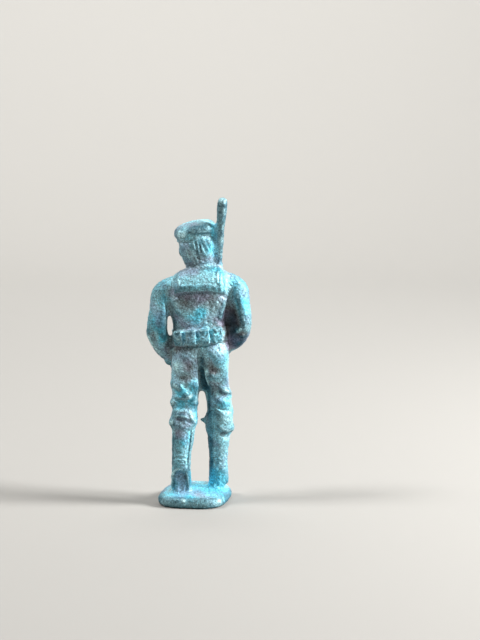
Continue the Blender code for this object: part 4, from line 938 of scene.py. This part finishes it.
def piece_mesh(name, points, quads):
    """Mesh of a piece, shaded as the casting curves, with the patina's amounts, painted shade and painted
    highlights on its points.
    """
    mesh = bpy.data.meshes.new(name)
    mesh.vertices.add(len(points))
    mesh.vertices.foreach_set("co", (points / METRE).astype(np.float32).ravel())
    mesh.loops.add(quads.size)
    mesh.loops.foreach_set("vertex_index", quads.astype(np.int32).ravel())
    mesh.polygons.add(len(quads))
    mesh.polygons.foreach_set("loop_start", np.arange(0, quads.size, 4, dtype=np.int32))
    mesh.update(calc_edges=True)
    mesh.shade_smooth()
    pits = np.clip(-values_at(grain, points) / FULL_PIT, -1, 1)
    deep = -values_at(deeps, points) / FULL_DEEP
    edge = values_at(edges, points) / FULL_EDGE
    hollow_patina_and_shade = np.clip(-values_at(hollows, points) / FULL_HOLLOW, 0, 1)
    amounts = {
        # Film in pits and deep places, and the film marks, some of them painted shade
        "film_and_shade": values_at(film_and_shade_marks, points) + PIT_FILM * pits + np.clip(deep, 0, DEEP_FILM),
        # Wear on edges, with the painted highlights added
        "wear_and_painted_highlight": np.clip(edge - EDGE_START, 0, EDGE_WEAR) + values_at(rubbed_and_highlight_marks, points),
        # Hollows get deep teal patina, and the painted shade marks add painted shade there
        "hollow_patina_and_shade": np.clip(
            hollow_patina_and_shade * HOLLOW_GAIN - HOLLOW_START + values_at(painted_shade_marks, points), 0, MOST_SHADE
        ),
    }
    for label, amount in amounts.items():
        mesh.attributes.new(label, "FLOAT", "POINT").data.foreach_set("value", amount.astype(np.float32))

    # Where a piece was parted, a normal of 0 leaves the shading to its own faces
    outside = np.abs(values_at(casting, points)) < CELL
    mesh.normals_split_custom_set_from_vertices(slopes_at(casting, points) * outside[:, None])
    return mesh


def without_crumbs(points, quads):
    """The largest joined surface, without the loose cells that the parting leaves beside it."""
    label = np.arange(len(points))
    while True:
        lower = label.copy()
        np.minimum.at(lower, quads.ravel(), np.repeat(label[quads].min(axis=1), 4))
        lower = lower[lower]
        if (lower == label).all():
            break
        label = lower
    island = label[quads[:, 0]]
    kept, corners = np.unique(quads[island == np.bincount(island).argmax()], return_inverse=True)
    return points[kept], corners.reshape(-1, 4)


def faces_out(points, quads):
    """Quads turned so that they face out."""
    a, b, c, d = (points[quads[:, i]].astype(float) for i in range(4))
    volume = (np.cross(b - a, c - a) * a).sum() + (np.cross(c - a, d - a) * a).sum()
    return quads if volume > 0 else quads[:, ::-1]


slots = {entry["node"]: entry["material_slot"] for entry in frame["record"]["subparts"]}
for number, name in enumerate(names):
    first, here, field = boxes[name]
    others = np.where(owner[here] == number, second[here], nearest[here])
    share = (field - others) / 2
    solid = np.maximum(casting[here] + TUCK * np.clip(share / TUCK + 0.5, 0, 1), share - TUCK)
    points, quads = without_crumbs(*surface(solid, first=first))
    mesh = piece_mesh(name, points, faces_out(points, quads))
    piece = bpy.data.objects.new("cast_" + name, mesh)
    bpy.context.scene.collection.objects.link(piece)
    mesh.materials.append(MATERIALS[slots[name]])
    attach(piece, "root")
    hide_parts(name)


# Studio

def matt_card():
    """Unglazed grey card, lit until it is pale: no gloss, a breath of warmth."""
    material = bpy.data.materials.new("matt_grey_card")
    material.use_nodes = True
    shader = material.node_tree.nodes["Principled BSDF"]
    shader.inputs["Base Color"].default_value = hex_colour("#94928e")
    shader.inputs["Roughness"].default_value = 0.9
    return material


def add_card():
    """Round floor that sweeps up into a wall all round the figure."""
    turns, steps = 96, 12
    hub, flat, sweep, top = 0.001, 0.35, 0.25, 0.9
    profile = [(hub, 0.0), (flat, 0.0)]
    for step in range(1, steps + 1):
        bend = math.pi / 2 * step / steps
        profile.append((flat + sweep * math.sin(bend), sweep * (1 - math.cos(bend))))
    profile.append((flat + sweep, top))
    around = [(math.cos(a), math.sin(a)) for a in np.arange(turns) * 2 * math.pi / turns]
    corners = [(radius * x, radius * y, z) for radius, z in profile for x, y in around]
    faces = [tuple(range(turns))]
    for row in range(0, turns * (len(profile) - 1), turns):
        for i in range(turns):
            j = (i + 1) % turns
            faces.append((row + i, row + turns + i, row + turns + j, row + j))
    mesh = bpy.data.meshes.new("card")
    mesh.from_pydata(corners, [], faces)
    mesh.shade_smooth()
    mesh.materials.append(matt_card())
    card = bpy.data.objects.new("card", mesh)
    bpy.context.scene.collection.objects.link(card)


def add_softbox(name, at, aim, size, power):
    """Round soft light at a place, aimed at another, in metres and watts."""
    data = bpy.data.lights.new(name, "AREA")
    data.shape = "DISK"
    data.size = size
    data.energy = power
    box = bpy.data.objects.new(name, data)
    bpy.context.scene.collection.objects.link(box)
    box.location = at
    box.rotation_euler = (Vector(aim) - Vector(at)).to_track_quat("-Z", "Y").to_euler()


add_card()

# The key grazes the figure's right side, the rim its left, and the third light brightens the wall behind it
MIDDLE = (0, 0, 0.022)
WALL = (0, -0.9, 0.25)
add_softbox("key", at=(-0.28, 0.05, 0.16), aim=MIDDLE, size=0.12, power=2.9)
add_softbox("rim", at=(0.19, 0.03, 0.3), aim=MIDDLE, size=0.08, power=1.0)
add_softbox("back", at=(0, -0.25, 0.6), aim=WALL, size=0.4, power=8.0)
world = bpy.data.worlds.new("studio")
world.use_nodes = True
background = world.node_tree.nodes["Background"]
background.inputs["Color"].default_value = hex_colour("#eef0f2")
background.inputs["Strength"].default_value = 0.05
bpy.context.scene.world = world
bpy.context.scene.view_settings.view_transform = "Standard"

lens = bpy.data.cameras.new("camera")
lens.sensor_width = 36.0
lens.lens = FOCAL_PIXELS / FRAME_PIXELS[1] * lens.sensor_width
lens.clip_start = 0.005
camera = bpy.data.objects.new("camera", lens)
bpy.context.scene.collection.objects.link(camera)
right, up, forward = view_axes()
turn = Matrix((right, up, -forward)).transposed().to_4x4()
camera.matrix_world = Matrix.Translation(CAMERA_AT / METRE) @ turn
bpy.context.scene.camera = camera
